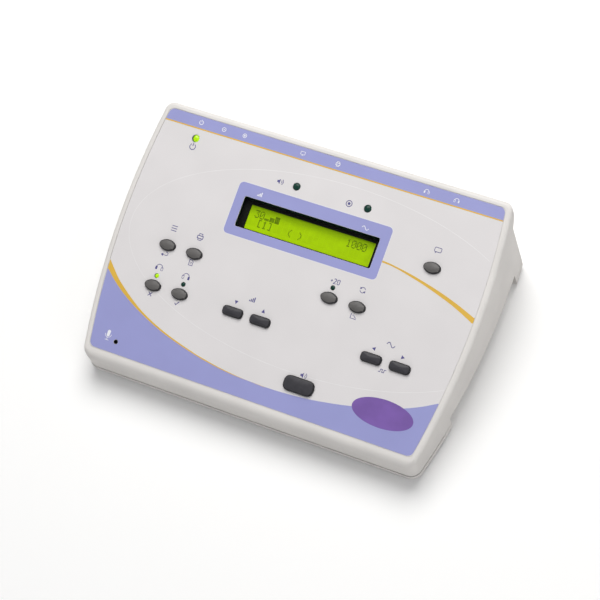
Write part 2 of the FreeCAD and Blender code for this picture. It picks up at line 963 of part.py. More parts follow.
def small_holes(prefix, bar):
    """Holes for the lamps and the microphone, each made by the function bar."""
    holes = [bar(prefix + name, lamp_hole, x, y, through) for name, (x, y) in LAMPS.items()]
    for name, (x, y) in SMALL_LAMPS.items():
        holes.append(bar(prefix + name, small_lamp_hole, x, y, through))
    holes.append(bar(prefix + "microphone_hole", dim("microphone_hole"), *microphone_spot, through))
    return holes


control_overlay = cut(
    "control_overlay", overlay_blank,
    overlay_tools + small_holes("overlay_", rod),
)
on_slope(control_overlay)

# ---------------------------------------------------------------- top housing

far = dim("case_depth")
parting_top = dim("parting_height") + dim("parting_gap") / 2
parting_bottom = dim("parting_height") - dim("parting_gap") / 2
whole_x = (-far, far)
whole_y = (-far, far)

top_block = common("top_block", case_form, box("above_parting", whole_x, whole_y, (parting_top, far)))
top_shell = cut("top_shell", top_block, [hollow, right_grip, left_grip])

POSTS = [
    (side * (case_side - dim("post_side_inset")), y)
    for y in (case_front + dim("post_front_inset"), rear_wall_y - dim("post_rear_inset"))
    for side in (-1, 1)
]
post_columns = [
    hexagon("boss_%d" % number, dim("post_radius"), x, y, (dim("post_top"), far))
    for number, (x, y) in enumerate(POSTS)
]
bosses = common("bosses", outer_form, union("boss_columns", post_columns))

bite = dim("wall") / 5
stud_columns = [
    hexagon("stud_%d" % number, dim("stud_radius"), x, y, (board_top, plate_bottom + bite))
    for number, (x, y) in enumerate(STUDS)
]
boot_radius = dim("microphone_radius") + dim("boot_wall")
collar_gap = dim("overlay_gap")
collar = cut(
    "collar",
    hexagon("collar_outside", boot_radius + collar_gap + dim("collar_wall"), *microphone_spot,
            (plate_bottom - dim("collar_height"), plate_bottom + bite)),
    [rod("collar_bore", boot_radius + collar_gap, *microphone_spot,
         (plate_bottom - dim("collar_height") * 2, plate_bottom))],
)
panel_posts = union("panel_posts", stud_columns + [collar])
on_slope(panel_posts)

lens_x = centred(Size(0, "0"), dim("window_width") + dim("lens_margin") * 2)
lens_y = centred(dim("window_y"), dim("window_height") + dim("lens_margin") * 2)
lens_bottom = recess_floor - dim("lens_thickness")
ledge_x = (window_x[0] - dim("ledge"), window_x[1] + dim("ledge"))
ledge_y = (window_y[0] - dim("ledge"), window_y[1] + dim("ledge"))
panel_tools = [
    panel_sheet("overlay_seat", 0.0, recess_floor, dim("panel_thickness") * 2),
    rounded_block("lens_seat", lens_x, lens_y, (lens_bottom, through[1]), dim("window_corner")),
    rounded_block("display_opening", ledge_x, ledge_y, through, dim("window_corner")),
]
panel_tools += [key_slot(name + "_slot", kind, x, y) for name, (kind, x, y) in KEYS.items()]
panel_tools += small_holes("panel_", hexagon)
stud_pilot_z = (board_top, board_top + dim("stud_pilot_depth"))
panel_tools += [
    hexagon("stud_pilot_%d" % number, dim("stud_pilot"), x, y, stud_pilot_z)
    for number, (x, y) in enumerate(STUDS)
]
panel_cuts = union("panel_cuts", panel_tools)
on_slope(panel_cuts)

insert_top = dim("post_top") + dim("insert_length")
insert_holes = [
    hexagon("insert_hole_%d" % number, dim("insert_radius"), x, y, (dim("post_top"), insert_top))
    for number, (x, y) in enumerate(POSTS)
]
opening_side = case_side - dim("rear_opening_side_inset")
panel_top = dim("case_height") - dim("lip_face") - dim("lip_depth") - dim("panel_top_gap")
rear_opening = new_body("rear_opening")
rear_opening_sketch = new_sketch(
    rear_opening, "rear_opening_outline", "XZ_Plane", -rear_wall_y - dim("wall")
)
rectangle(
    rear_opening_sketch, (-opening_side, opening_side),
    (dim("rear_opening_bottom"), panel_top - dim("rear_opening_margin")),
)
rear_opening_pad = pad(rear_opening, rear_opening_sketch, dim("wall") * 3, "rear_opening_pad")


def runs_along_y(edge):
    start, end = edge.Vertexes[0].Point, edge.Vertexes[-1].Point
    return abs(start.y - end.y) > 0.1 and abs(start.x - end.x) + abs(start.z - end.z) < 1e-6


round_edges(rear_opening, rear_opening_pad, runs_along_y, dim("rear_opening_corner"), "rear_opening_corners")

top_housing = cut(
    "top_housing",
    union("top_solid", [top_shell, bosses, panel_posts]),
    [panel_cuts, rear_opening] + insert_holes,
)

# ---------------------------------------------------------------- base housing

below_parting = box("below_parting", whole_x, whole_y, (0.0, parting_bottom))
base_block = common("base_block", case_form, below_parting)
base_shell = cut("base_shell", base_block, [hollow, right_grip, left_grip])

# A tongue round the front stands up inside the top housing and lines the two shells up.
tongue_inset = dim("wall") + dim("tongue_clearance")
tongue_inner = tongue_inset + dim("tongue_thickness")
tongue_root = dim("wall") - bite
tongue_top = parting_top + dim("tongue_height")


def tongue_block(name, inset, z):
    return bowed_block(name, inset, z, dim("front_corner") - inset, dim("rear_corner") - inset)


tongue_ring = cut(
    "tongue_ring",
    union("tongue_blocks", [
        tongue_block("tongue_upper", tongue_inset, (floor_top, tongue_top)),
        tongue_block("tongue_lower", tongue_root, (floor_top - bite, parting_bottom)),
    ]),
    [tongue_block("tongue_inside", tongue_inner, (0.0, dim("case_height")))],
)
tongue_end = case_front + dim("grip_front_inset") - dim("wall") * 2
tongue = common("tongue", tongue_ring, box("tongue_reach", whole_x, (-far, tongue_end), (0.0, far)))

# The connector panel stands in a slot between two ribs and the rear wall, over its board.
panel_outside = rear_wall_y - dim("wall")
panel_inside = panel_outside - dim("rear_panel_thickness")
shelf_side = case_side - dim("shelf_side_inset")
shelf_rear = panel_inside - dim("panel_rib_gap")
shelf_front = shelf_rear - dim("shelf_depth")
SHELF_POSTS = [
    (side * x, y)
    for x, y in (
        (shelf_side - dim("shelf_outer_post_inset"), shelf_front + dim("shelf_front_post_inset")),
        (dim("shelf_inner_post_x"), shelf_rear - dim("shelf_rear_post_inset")),
    )
    for side in (-1, 1)
]
FEET = [
    (side * (case_side - dim("foot_side_inset")), y)
    for y in (case_front + dim("foot_front_inset"), rear_wall_y - dim("foot_rear_inset"))
    for side in (-1, 1)
]

posts = [
    hexagon("post_%d" % number, dim("post_radius"), x, y, (floor_top - bite, dim("post_top")))
    for number, (x, y) in enumerate(POSTS)
]
posts += [
    hexagon("shelf_post_%d" % number, dim("shelf_post_radius"), x, y, (floor_top - bite, dim("shelf_bottom")))
    for number, (x, y) in enumerate(SHELF_POSTS)
]
rib_back = panel_inside - dim("panel_rib_gap")
posts += [
    box(
        "panel_rib_%d" % number, centred(side * dim("panel_rib_x"), dim("panel_rib_length")),
        (rib_back - dim("panel_rib_thickness"), rib_back),
        (floor_top - bite, floor_top + dim("panel_rib_height")),
    )
    for number, side in enumerate((-1, 1))
]
foot_top = dim("foot_lift") + dim("foot_socket")


def foot_block(name, x, y, gap, top):
    """Square pad from the table up into the base; gap makes the socket that takes it."""
    side = dim("foot_half_width") * 2
    return box(name, grown(centred(x, side), gap), grown(centred(y, side), gap), (0.0, top))


base_tools = []
for number, (x, y) in enumerate(POSTS):
    base_tools.append(
        hexagon("screw_hole_%d" % number, dim("screw_radius") + dim("screw_clearance"), x, y, (0.0, far))
    )
    base_tools.append(
        hexagon("screw_recess_%d" % number, dim("screw_recess"), x, y, (0.0, dim("screw_seat")))
    )
for number, (x, y) in enumerate(FEET):
    base_tools.append(foot_block("foot_socket_%d" % number, x, y, dim("socket_gap"), foot_top))
for number, (x, y) in enumerate(SHELF_POSTS):
    base_tools.append(hexagon("shelf_pilot_%d" % number, dim("stud_pilot"), x, y, (floor_top, far)))
base_housing = cut("base_housing", union("base_solid", [base_shell, tongue] + posts), base_tools)

# ---------------------------------------------------------------- display module

glass_top = -dim("glass_depth")
glass_bottom = glass_top - dim("glass_thickness")
module_top = glass_bottom - dim("backlight_thickness")
module_bottom = module_top - dim("board_thickness")
middle = Size(0, "0")
glass_x = centred(middle, dim("view_width") + dim("glass_margin_x") * 2)
glass_y = centred(dim("view_y"), dim("view_height") + dim("glass_margin_y") * 2)
screw_hole = dim("board_screw_radius") + dim("screw_clearance")


display_window = on_slope(rounded_block(
    "display_window", grown(lens_x, -dim("lens_clearance")), grown(lens_y, -dim("lens_clearance")),
    (lens_bottom, recess_floor), dim("window_corner"),
))
display_glass = on_slope(block("display_glass", glass_x, glass_y, (glass_bottom, glass_top)))
display_backlight = on_slope(block("display_backlight", glass_x, glass_y, (module_top, glass_bottom)))
frame_gap = dim("frame_gap")
frame_top = glass_top + dim("frame_wall")
view_x = centred(middle, dim("view_width"))
view_y = centred(dim("view_y"), dim("view_height"))
display_frame = on_slope(cut(
    "display_frame",
    rounded_block(
        "frame_outside", grown(glass_x, frame_gap + dim("frame_wall")),
        grown(glass_y, frame_gap + dim("frame_wall")), (module_top, frame_top), dim("window_corner"),
    ),
    [
        box("frame_inside", grown(glass_x, frame_gap), grown(glass_y, frame_gap),
            (module_top - dim("frame_wall"), glass_top)),
        box("frame_view", view_x, view_y, (glass_top - dim("frame_wall"), frame_top + dim("frame_wall"))),
    ],
))
module_blank = box(
    "module_blank", centred(middle, dim("module_width")), centred(dim("view_y"), dim("module_height")),
    (module_bottom, module_top),
)
display_board = on_slope(cut("display_board", module_blank, [
    hexagon("module_hole_%d" % number, screw_hole, x, y, (board_bottom, far))
    for number, (x, y) in enumerate(MODULE_HOLES)
]))


def sleeve(name, outer, inner, x, y, z):
    """Six-sided sleeve between a pair of heights."""
    bore = hexagon(name + "_bore", inner, x, y, grown(z, bite))
    return cut(name, hexagon(name + "_outside", outer, x, y, z), [bore])


def board_screw(name, x, y, seat, length, sign):
    """Hexagon-head screw under its seat, or over it with sign 1, that runs on through the board."""
    head = dim("board_screw_head_height")
    head_z = (seat, seat + head) if sign > 0 else (seat - head, seat)
    shank_z = (seat - length, seat) if sign > 0 else (seat, seat + length)
    return union(name, [
        hexagon(name + "_head", dim("board_screw_head"), x, y, head_z),
        hexagon(name + "_shank", dim("board_screw_radius"), x, y, shank_z),
    ])


display_spacers = on_slope(group("display_spacers", [
    sleeve("spacer_%d" % number, dim("spacer_outer"), dim("spacer_bore"), x, y, (board_top, module_bottom))
    for number, (x, y) in enumerate(MODULE_HOLES)
]))
nut_bottom = board_bottom - dim("board_nut_height")
display_screws = on_slope(group("display_screws", [
    union("display_fastener_%d" % number, [
        board_screw("display_screw_%d" % number, x, y, module_top, module_top - nut_bottom, 1),
        hexagon("display_nut_%d" % number, dim("board_screw_head"), x, y, (nut_bottom, board_bottom)),
    ])
    for number, (x, y) in enumerate(MODULE_HOLES)
]))

# ---------------------------------------------------------------- control board

board_blank = box(
    "board_blank", (-board_side, board_side), (board_front, board_rear), (board_bottom, board_top),
)
control_board = on_slope(cut("control_board", board_blank, [
    hexagon("board_hole_%d" % number, screw_hole, x, y, (board_bottom - bite, board_top + bite))
    for number, (x, y) in enumerate(STUDS + MODULE_HOLES)
]))
control_board_screws = on_slope(group("control_board_screws", [
    board_screw("board_screw_%d" % number, x, y, board_bottom, dim("board_screw_length"), -1)
    for number, (x, y) in enumerate(STUDS)
]))
CHIPS = [(-dim("middle_stud_x"), dim("present_y")), (middle, -dim("middle_stud_x")), (dim("tone_x"), middle)]
chip_side = dim("chip_side")
chip_z = (board_top, board_top + dim("chip_height"))
chips = [
    box("chip_%d" % number, centred(x, chip_side), centred(y, chip_side), chip_z)
    for number, (x, y) in enumerate(CHIPS)
]
header_z = (board_bottom - dim("header_height"), board_bottom)
ribbon_y = board_rear - dim("ribbon_rear_inset")
chips.append(box(
    "board_header", centred(dim("ribbon_x"), dim("header_length")),
    centred(ribbon_y, dim("header_width")), header_z,
))
control_board_chips = on_slope(group("control_board_chips", chips))


def key_switch(name, x, y):
    """Tactile switch with a square button."""
    side = dim("switch_side")
    case_z = (board_top, board_top + dim("switch_body"))
    return union(name, [
        box(name + "_body", centred(x, side), centred(y, side), case_z),
        box(name + "_button", centred(x, dim("switch_button")), centred(y, dim("switch_button")),
            (board_top, switch_top)),
    ])


key_switches = on_slope(group("key_switches", [
    key_switch(name + "_switch", x, y) for name, (kind, x, y) in KEYS.items()
]))

# ---------------------------------------------------------------- lamps and microphone


def lamp(name, x, y, radius, crown, rise, length):
    """Lamp with a tapered crown and two leads down to the control board."""
    shoulder = rise - crown
    bottom = rise - length
    tip = doc.addObject("Part::Cone", name + "_crown")
    bind(tip, "Radius1", radius)
    bind(tip, "Radius2", radius - crown)
    bind(tip, "Height", crown)
    place(tip, x, y, shoulder)
    lead = dim("lead_side")
    pieces = [tip, rod(name + "_barrel", radius, x, y, (bottom, shoulder))]
    for side in (-1, 1):
        pieces.append(box(
            "%s_lead_%s" % (name, "left" if side < 0 else "right"),
            centred(x + side * dim("lead_spread"), lead), centred(y, lead), (board_top, bottom + lead),
        ))
    return on_slope(union(name, pieces))


lamps = [
    lamp(name, x, y, dim("lamp_radius"), dim("lamp_crown"), dim("lamp_rise"), dim("lamp_length"))
    for name, (x, y) in LAMPS.items()
]
lamps += [
    lamp(name, x, y, dim("small_lamp_radius"), dim("small_lamp_crown"), dim("small_lamp_rise"),
         dim("small_lamp_length"))
    for name, (x, y) in SMALL_LAMPS.items()
]

capsule_top = plate_bottom - dim("microphone_setback")
capsule_bottom = capsule_top - dim("microphone_length")
microphone = on_slope(cut(
    "microphone",
    rod("capsule", dim("microphone_radius"), *microphone_spot, (capsule_bottom, capsule_top)),
    [hexagon("capsule_mouth", dim("sound_hole"), *microphone_spot,
             (capsule_top - dim("sound_hole_depth"), capsule_top + bite))],
))
boot_bottom = capsule_bottom - dim("boot_floor")
microphone_boot = on_slope(cut(
    "microphone_boot",
    rod("boot_outside", boot_radius, *microphone_spot, (boot_bottom, plate_bottom)),
    [rod("boot_inside", dim("microphone_radius") + dim("boot_fit"), *microphone_spot,
         (capsule_bottom, plate_bottom + bite))],
))

# ---------------------------------------------------------------- keys

keys = [key(name, kind, x, y) for name, (kind, x, y) in KEYS.items()]

# ---------------------------------------------------------------- screws, inserts and feet

threaded_inserts = group("threaded_inserts", [
    sleeve("insert_%d" % number, dim("insert_radius") - dim("insert_fit"),
           dim("screw_radius") + dim("insert_fit"), x, y, (dim("post_top"), insert_top))
    for number, (x, y) in enumerate(POSTS)
])


def housing_screw(name, x, y):
    """Screw up through the base housing into an insert of the top one."""
    seat = dim("screw_seat")
    return union(name, [
        hexagon(name + "_head", dim("screw_head"), x, y, (seat - dim("screw_head_height"), seat)),
        hexagon(name + "_shank", dim("screw_radius"), x, y, (seat, insert_top - dim("screw_tip_gap"))),
    ])


housing_screws = group("housing_screws", [
    housing_screw("housing_screw_%d" % number, x, y) for number, (x, y) in enumerate(POSTS)
])


rubber_feet = group("rubber_feet", [
    foot_block("rubber_foot_%d" % number, x, y, 0.0, foot_top)
    for number, (x, y) in enumerate(FEET)
])

# ---------------------------------------------------------------- rear connectors

shelf_top = dim("shelf_bottom") + dim("board_thickness")
socket_front = panel_outside + dim("socket_reach")
socket_gap = dim("socket_gap")

# The connectors are set out from the ends of the rear opening.
switch_x = dim("switch_side_inset") - opening_side
power_x = switch_x + dim("power_socket_step")
right_jack_x = opening_side - dim("jack_side_inset")
JACKS = {
    "response_jack": power_x + dim("response_jack_step"),
    "left_earphone_jack": right_jack_x - dim("jack_pitch"),
    "right_earphone_jack": right_jack_x,
}


def jack(name, x):
    """Board-mounted socket for a 6.35 mm plug, with a threaded collar through the panel."""
    height = dim("socket_height")
    rear = panel_outside + dim("jack_reach")
    solid = union(name + "_solid", [
        box(name + "_case", centred(x, dim("jack_width")), (panel_inside - dim("jack_length"), panel_inside),
            (shelf_top, height * 2 - shelf_top)),
        rod_along_y(name + "_collar", dim("jack_collar"), x, (panel_inside, rear), height),
    ])
    mouth = (panel_inside - dim("jack_length") + dim("jack_end_wall"), rear + bite)
    return cut(name, solid, [rod_along_y(name + "_bore", dim("jack_bore"), x, mouth, height)])


def jack_nut(name, x):
    """Hexagonal nut on a jack's collar."""
    height = dim("socket_height")
    span = (panel_outside, panel_outside + dim("jack_nut_thickness"))
    bore = rod_along_y(name + "_bore", dim("jack_collar") + dim("insert_fit"), x, grown(span, bite), height)
    return cut(name, hexagon_along_y(name + "_hexagon", dim("jack_nut"), x, span, height), [bore])


jacks = [jack(name, x) for name, x in JACKS.items()]
jack_nuts = group("jack_nuts", [jack_nut(name + "_nut", x) for name, x in JACKS.items()])

power_height = shelf_top + dim("power_socket_height") / 2
power_floor = socket_front - dim("power_socket_depth")
power_nose = (panel_inside - bite, socket_front)
power_mouth = (power_floor, socket_front + bite)
power_socket = union("power_socket", [
    cut("power_shell", union("power_solid", [
        box("power_case", centred(power_x, dim("power_socket_width")),
            (panel_inside - dim("power_socket_length"), panel_inside),
            (shelf_top, shelf_top + dim("power_socket_height"))),
        rod_along_y("power_nose", dim("power_socket_nose"), power_x, power_nose, power_height),
    ]), [rod_along_y("power_bore", dim("power_socket_bore"), power_x, power_mouth, power_height)]),
    rod_along_y("power_pin", dim("power_socket_pin"), power_x,
                (power_floor - bite, socket_front - dim("power_pin_setback")), power_height),
])

usb_x = dim("usb_x")
usb_height = shelf_top + dim("usb_height") / 2
usb_floor = socket_front - dim("usb_mouth_depth")
usb_mouth = new_body("usb_mouth")
usb_sketch = new_sketch(usb_mouth, "usb_mouth_outline", "XZ_Plane", -socket_front - bite)
half_mouth = dim("usb_mouth_width") / 2
mouth_low = usb_height - dim("usb_mouth_height") / 2
mouth_high = usb_height + dim("usb_mouth_height") / 2
bevel = dim("usb_mouth_bevel")
outline(usb_sketch, [
    (usb_x - half_mouth, mouth_low),
    (usb_x + half_mouth, mouth_low),
    (usb_x + half_mouth, mouth_high - bevel),
    (usb_x + half_mouth - bevel, mouth_high),
    (usb_x - half_mouth + bevel, mouth_high),
    (usb_x - half_mouth, mouth_high - bevel),
])
pad(usb_mouth, usb_sketch, dim("usb_mouth_depth") + bite, "usb_mouth_pad")
usb_socket = union("usb_socket", [
    cut("usb_shell", box(
        "usb_case", centred(usb_x, dim("usb_width")), (panel_inside - dim("usb_length"), socket_front),
        (shelf_top, shelf_top + dim("usb_height")),
    ), [usb_mouth]),
    box("usb_tongue", centred(usb_x, dim("usb_tongue_width")),
        (usb_floor - bite, socket_front - dim("usb_tongue_setback")),
        centred(usb_height, dim("usb_tongue_height"))),
])

printer_x = dim("printer_x")
printer_height = shelf_top + dim("printer_height") / 2
printer_mouth = (socket_front - dim("printer_depth"), socket_front + bite)
printer_core = cut(
    "printer_core",
    rod_along_y("printer_core_solid", dim("printer_core"), printer_x,
                (printer_mouth[0] - bite, socket_front), printer_height),
    [
        hexagon_along_y(
            "printer_pin_%d" % pin, dim("printer_pin"),
            printer_x + dim("printer_pin_circle") * math.cos(math.radians(60 * pin)), printer_mouth,
            printer_height + dim("printer_pin_circle") * math.sin(math.radians(60 * pin)),
        )
        for pin in range(6)
    ],
)
printer_socket = union("printer_socket", [
    cut("printer_shell", box(
        "printer_case", centred(printer_x, dim("printer_width")),
        (panel_inside - dim("printer_length"), socket_front), (shelf_top, shelf_top + dim("printer_height")),
    ), [rod_along_y("printer_ring", dim("printer_bore"), printer_x, printer_mouth, printer_height)]),
    printer_core,
])

# ---------------------------------------------------------------- power switch

switch_z = dim("switch_z")
bezel_front = panel_outside + dim("rocker_frame_thickness")
pivot_y = panel_outside - dim("rocker_pivot_depth")
well_x = centred(switch_x, dim("rocker_width") + dim("rocker_gap") * 2)
pin_end = dim("rocker_width") / 2 + dim("rocker_gap") + dim("rocker_pin_length")


def rod_along_x(name, radius, x, y, z):
    """Cylinder along x between a pair of distances."""
    bar = doc.addObject("Part::Cylinder", name)
    bind(bar, "Radius", radius)
    bind(bar, "Height", x[1] - x[0])
    bar.Placement = FreeCAD.Placement(Vector(), FreeCAD.Rotation(Vector(0, 1, 0), 90))
    place(bar, x[0], y, z)
    return bar


switch_case = union("switch_case", [
    box("switch_bezel", centred(switch_x, dim("rocker_frame_width")), (panel_outside, bezel_front),
        centred(switch_z, dim("rocker_frame_height"))),
    box("switch_block", centred(switch_x, dim("rocker_body_width")),
        (panel_outside - dim("rocker_body_length"), panel_outside + bite),
        centred(switch_z, dim("rocker_body_height"))),
] + [
    box("switch_blade_%d" % number, centred(switch_x, dim("blade_width")),
        (panel_outside - dim("rocker_body_length") - dim("blade_length"),
         panel_outside - dim("rocker_body_length") + bite),
        centred(switch_z + side * dim("blade_pitch") / 2, dim("blade_thickness")))
    for number, side in enumerate((-1, 1))
])
power_switch_body = cut("power_switch_body", switch_case, [
    box("rocker_well", well_x, (pivot_y - dim("rocker_well"), bezel_front + bite),
        centred(switch_z, (dim("rocker_radius") + dim("rocker_gap")) * 2)),
    rod_along_x("rocker_pin_hole", dim("rocker_pin") + dim("rocker_pin_fit"),
                (switch_x - pin_end - bite / 2, switch_x + pin_end + bite / 2), pivot_y, switch_z),
])

# The rocker is drawn about its pivot and stands tilted, with its ends round the pivot.
rocker_blank = new_body("rocker_blank")
rocker_sketch = new_sketch(rocker_blank, "rocker_profile", "YZ_Plane", -dim("rocker_width") / 2)


def rocker_end(y):
    return root(dim("rocker_radius") * dim("rocker_radius") - y * y)


outline(
    rocker_sketch,
    [
        (-dim("rocker_back"), -rocker_end(dim("rocker_back"))),
        (dim("rocker_rise"), -rocker_end(dim("rocker_rise"))),
        (dim("rocker_waist"), 0.0),
        (dim("rocker_rise"), rocker_end(dim("rocker_rise"))),
        (-dim("rocker_back"), rocker_end(dim("rocker_back"))),
    ],
    {0: dim("rocker_radius"), 3: dim("rocker_radius")},
)
pad(rocker_blank, rocker_sketch, dim("rocker_width"), "rocker_pad")
power_rocker = union("power_rocker", [
    rocker_blank, rod_along_x("rocker_pins", dim("rocker_pin"), (-pin_end, pin_end), 0.0, 0.0),
])
rocker_rest = FreeCAD.Rotation(Vector(1, 0, 0), -plain(dim("rocker_tilt")))
power_rocker.Placement = FreeCAD.Placement(Vector(), rocker_rest)
power_rocker.setExpression("Placement.Rotation.Angle", "0 - Sizes.rocker_tilt")
place(power_rocker, switch_x, pivot_y, switch_z)

# ---------------------------------------------------------------- connector panel and board

panel_side = case_side - dim("panel_side_inset")
panel_blank = box(
    "panel_blank", (-panel_side, panel_side), (panel_inside, panel_outside), (floor_top, panel_top)
)
panel_reach = grown((panel_inside, panel_outside), bite)
panel_holes = [
    rod_along_y(name + "_hole", dim("jack_collar") + socket_gap, x, panel_reach, dim("socket_height"))
    for name, x in JACKS.items()
]
panel_holes += [
    rod_along_y("power_hole", dim("power_socket_nose") + socket_gap, power_x, panel_reach, power_height),
    box("usb_hole", grown(centred(usb_x, dim("usb_width")), socket_gap), panel_reach,
        grown((shelf_top, shelf_top + dim("usb_height")), socket_gap)),
    box("printer_hole", grown(centred(printer_x, dim("printer_width")), socket_gap), panel_reach,
        grown((shelf_top, shelf_top + dim("printer_height")), socket_gap)),
    box("switch_hole", grown(centred(switch_x, dim("rocker_body_width")), socket_gap), panel_reach,
        grown(centred(switch_z, dim("rocker_body_height")), socket_gap)),
]
connector_panel = cut("connector_panel", panel_blank, panel_holes)

shelf_z = (dim("shelf_bottom"), shelf_top)
shelf_blank = box("shelf_blank", (-shelf_side, shelf_side), (shelf_front, shelf_rear), shelf_z)
connector_board = cut("connector_board", shelf_blank, [
    hexagon("shelf_hole_%d" % number, screw_hole, x, y, grown(shelf_z, bite))
    for number, (x, y) in enumerate(SHELF_POSTS)
])
shelf_screw_length = dim("shelf_screw_length") + dim("board_thickness")
connector_board_screws = group("connector_board_screws", [
    board_screw("shelf_screw_%d" % number, x, y, shelf_top, shelf_screw_length, 1)
    for number, (x, y) in enumerate(SHELF_POSTS)
])

# The ribbon leaves the control board's header square to the panel and ends on this one.
header_top = shelf_top + dim("header_height")
ribbon_top = header_z[0]
ribbon_start_y = origin_y + ribbon_y * slope_cos - ribbon_top * slope_sin
ribbon_start_z = origin_z + ribbon_y * slope_sin + ribbon_top * slope_cos
ribbon_end_y = ribbon_start_y + (ribbon_start_z - header_top) * slope_sin / slope_cos
capacitor_y = shelf_front + dim("capacitor_inset")
connector_board_parts = group("connector_board_parts", [
    box("shelf_header", centred(dim("ribbon_x"), dim("header_length")),
        centred(ribbon_end_y, dim("header_width")), (shelf_top, header_top)),
    rod("shelf_capacitor", dim("capacitor_radius"), dim("capacitor_x"), capacitor_y,
        (shelf_top, shelf_top + dim("capacitor_height"))),
    box("shelf_chip", centred(dim("shelf_chip_x"), dim("shelf_chip_length")),
        centred(capacitor_y, chip_side), (shelf_top, shelf_top + dim("chip_height"))),
])
ribbon_slab = on_slope(block(
    "ribbon_slab", centred(dim("ribbon_x"), dim("ribbon_width")),
    centred(ribbon_y, dim("ribbon_thickness")), (ribbon_top - dim("case_height"), ribbon_top),
))
board_ribbon = common("board_ribbon", ribbon_slab, box("above_header", whole_x, whole_y, (header_top, far)))

# ---------------------------------------------------------------- checks and export

NODES = [top_housing, base_housing, control_overlay, display_window, display_glass, display_frame]
NODES += [display_board, display_backlight, display_spacers, display_screws]
NODES += keys + lamps
NODES += [microphone, microphone_boot, control_board, control_board_chips, control_board_screws, key_switches]
NODES += [connector_panel, power_switch_body, power_rocker, power_socket, usb_socket, printer_socket]
NODES += jacks
NODES += [jack_nuts, connector_board, connector_board_parts, connector_board_screws, board_ribbon]
NODES += [housing_screws, threaded_inserts, rubber_feet]

doc.recompute()
for thing in doc.Objects:
    if "Invalid" in thing.State or "Error" in thing.State:
        raise RuntimeError("%s did not build: %s" % (thing.Label, thing.State))
for node in NODES:
    if node.Shape.isNull() or not node.Shape.isValid():
        raise RuntimeError("%s has no valid shape" % node.Label)

os.makedirs("parts", exist_ok=True)
for node in NODES:
    node.Shape.exportStep("parts/%s.step" % node.Label)
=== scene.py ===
import json
import math

import bpy
from mathutils import Matrix, Vector
from mathutils.geometry import tessellate_polygon


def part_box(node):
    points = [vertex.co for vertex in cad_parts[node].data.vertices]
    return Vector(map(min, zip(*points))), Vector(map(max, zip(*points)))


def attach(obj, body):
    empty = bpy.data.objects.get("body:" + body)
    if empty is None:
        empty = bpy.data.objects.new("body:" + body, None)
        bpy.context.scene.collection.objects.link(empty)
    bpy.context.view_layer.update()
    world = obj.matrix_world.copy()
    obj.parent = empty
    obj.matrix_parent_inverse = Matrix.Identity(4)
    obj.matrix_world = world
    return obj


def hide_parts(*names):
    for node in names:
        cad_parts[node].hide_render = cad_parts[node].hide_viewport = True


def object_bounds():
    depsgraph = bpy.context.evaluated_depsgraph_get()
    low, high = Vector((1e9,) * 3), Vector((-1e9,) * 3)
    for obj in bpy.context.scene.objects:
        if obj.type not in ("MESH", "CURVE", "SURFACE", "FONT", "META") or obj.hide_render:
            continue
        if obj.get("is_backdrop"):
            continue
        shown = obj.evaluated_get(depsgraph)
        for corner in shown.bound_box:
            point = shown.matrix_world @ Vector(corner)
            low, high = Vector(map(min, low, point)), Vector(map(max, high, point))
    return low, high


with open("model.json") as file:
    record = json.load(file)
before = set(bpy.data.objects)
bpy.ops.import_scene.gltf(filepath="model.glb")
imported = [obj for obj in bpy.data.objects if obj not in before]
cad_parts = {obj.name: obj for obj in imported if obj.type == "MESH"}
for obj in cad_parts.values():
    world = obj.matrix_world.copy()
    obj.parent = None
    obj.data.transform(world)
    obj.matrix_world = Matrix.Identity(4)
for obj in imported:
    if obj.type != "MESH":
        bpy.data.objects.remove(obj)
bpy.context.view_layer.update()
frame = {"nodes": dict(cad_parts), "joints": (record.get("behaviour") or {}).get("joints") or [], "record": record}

MM = 0.001

# ---------------------------------------------------------------- the panel's own frame

# A place on the panel is (u, v, w): across, up the slope and out of it, in millimetres. A key
# travels straight out of the panel, so its joint gives the slope. w is 0 at the rim's top.
press = next(j for j in frame["joints"] if j["name"] == "key_menu_press")
OUT = Vector(press["axis"]).normalized()
UP = Vector((0.0, OUT.z, -OUT.y))
ACROSS = Vector((1.0, 0.0, 0.0))
OVERLAY_TOP = -0.2
OVERLAY_THICKNESS = 0.4
low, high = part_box("control_overlay")
PANEL_ORIGIN = (low + high) / 2 - OUT * (OVERLAY_TOP - OVERLAY_THICKNESS / 2) * MM
CASE_SIDE_RADIUS = 490.0
CASE_SIDE_APEX = 13.0
# Seen square to the slope, the bow of the case's sides is drawn out along it.
SIDE_RADIUS = CASE_SIDE_RADIUS / OUT.z**2
SIDE_APEX = (CASE_SIDE_APEX - PANEL_ORIGIN.y / MM) / OUT.z
OVERLAY_CORNER = 3.55


def along_panel(u, v, w):
    return ACROSS * u + UP * v + OUT * w


def on_panel(u, v, w):
    return PANEL_ORIGIN + along_panel(u, v, w) * MM


def panel_points(node):
    """The mesh points of a CAD node as (u, v, w)."""
    out = []
    for vertex in frame["nodes"][node].data.vertices:
        off = (vertex.co - PANEL_ORIGIN) / MM
        out.append((off.dot(ACROSS), off.dot(UP), off.dot(OUT)))
    return out


def span(values):
    return min(values), max(values)


def spans(points):
    """The lowest and highest value of each coordinate."""
    return [span(c) for c in zip(*points)]


def middle(pair):
    return (pair[0] + pair[1]) / 2


def half(pair):
    return (pair[1] - pair[0]) / 2


overlay_u, overlay_v = spans(panel_points("control_overlay"))[:2]
OVERLAY_HALF = overlay_u[1]
OVERLAY_REACH = overlay_v[1]


def half_width(v, inset=0.0):
    """How far the overlay reaches to each side at v."""
    rise = v - SIDE_APEX
    return OVERLAY_HALF - inset - SIDE_RADIUS + math.sqrt(SIDE_RADIUS**2 - rise**2)


# ---------------------------------------------------------------- camera

SENSOR = 36.0
FOCAL_IN_WIDTHS = 3.79208
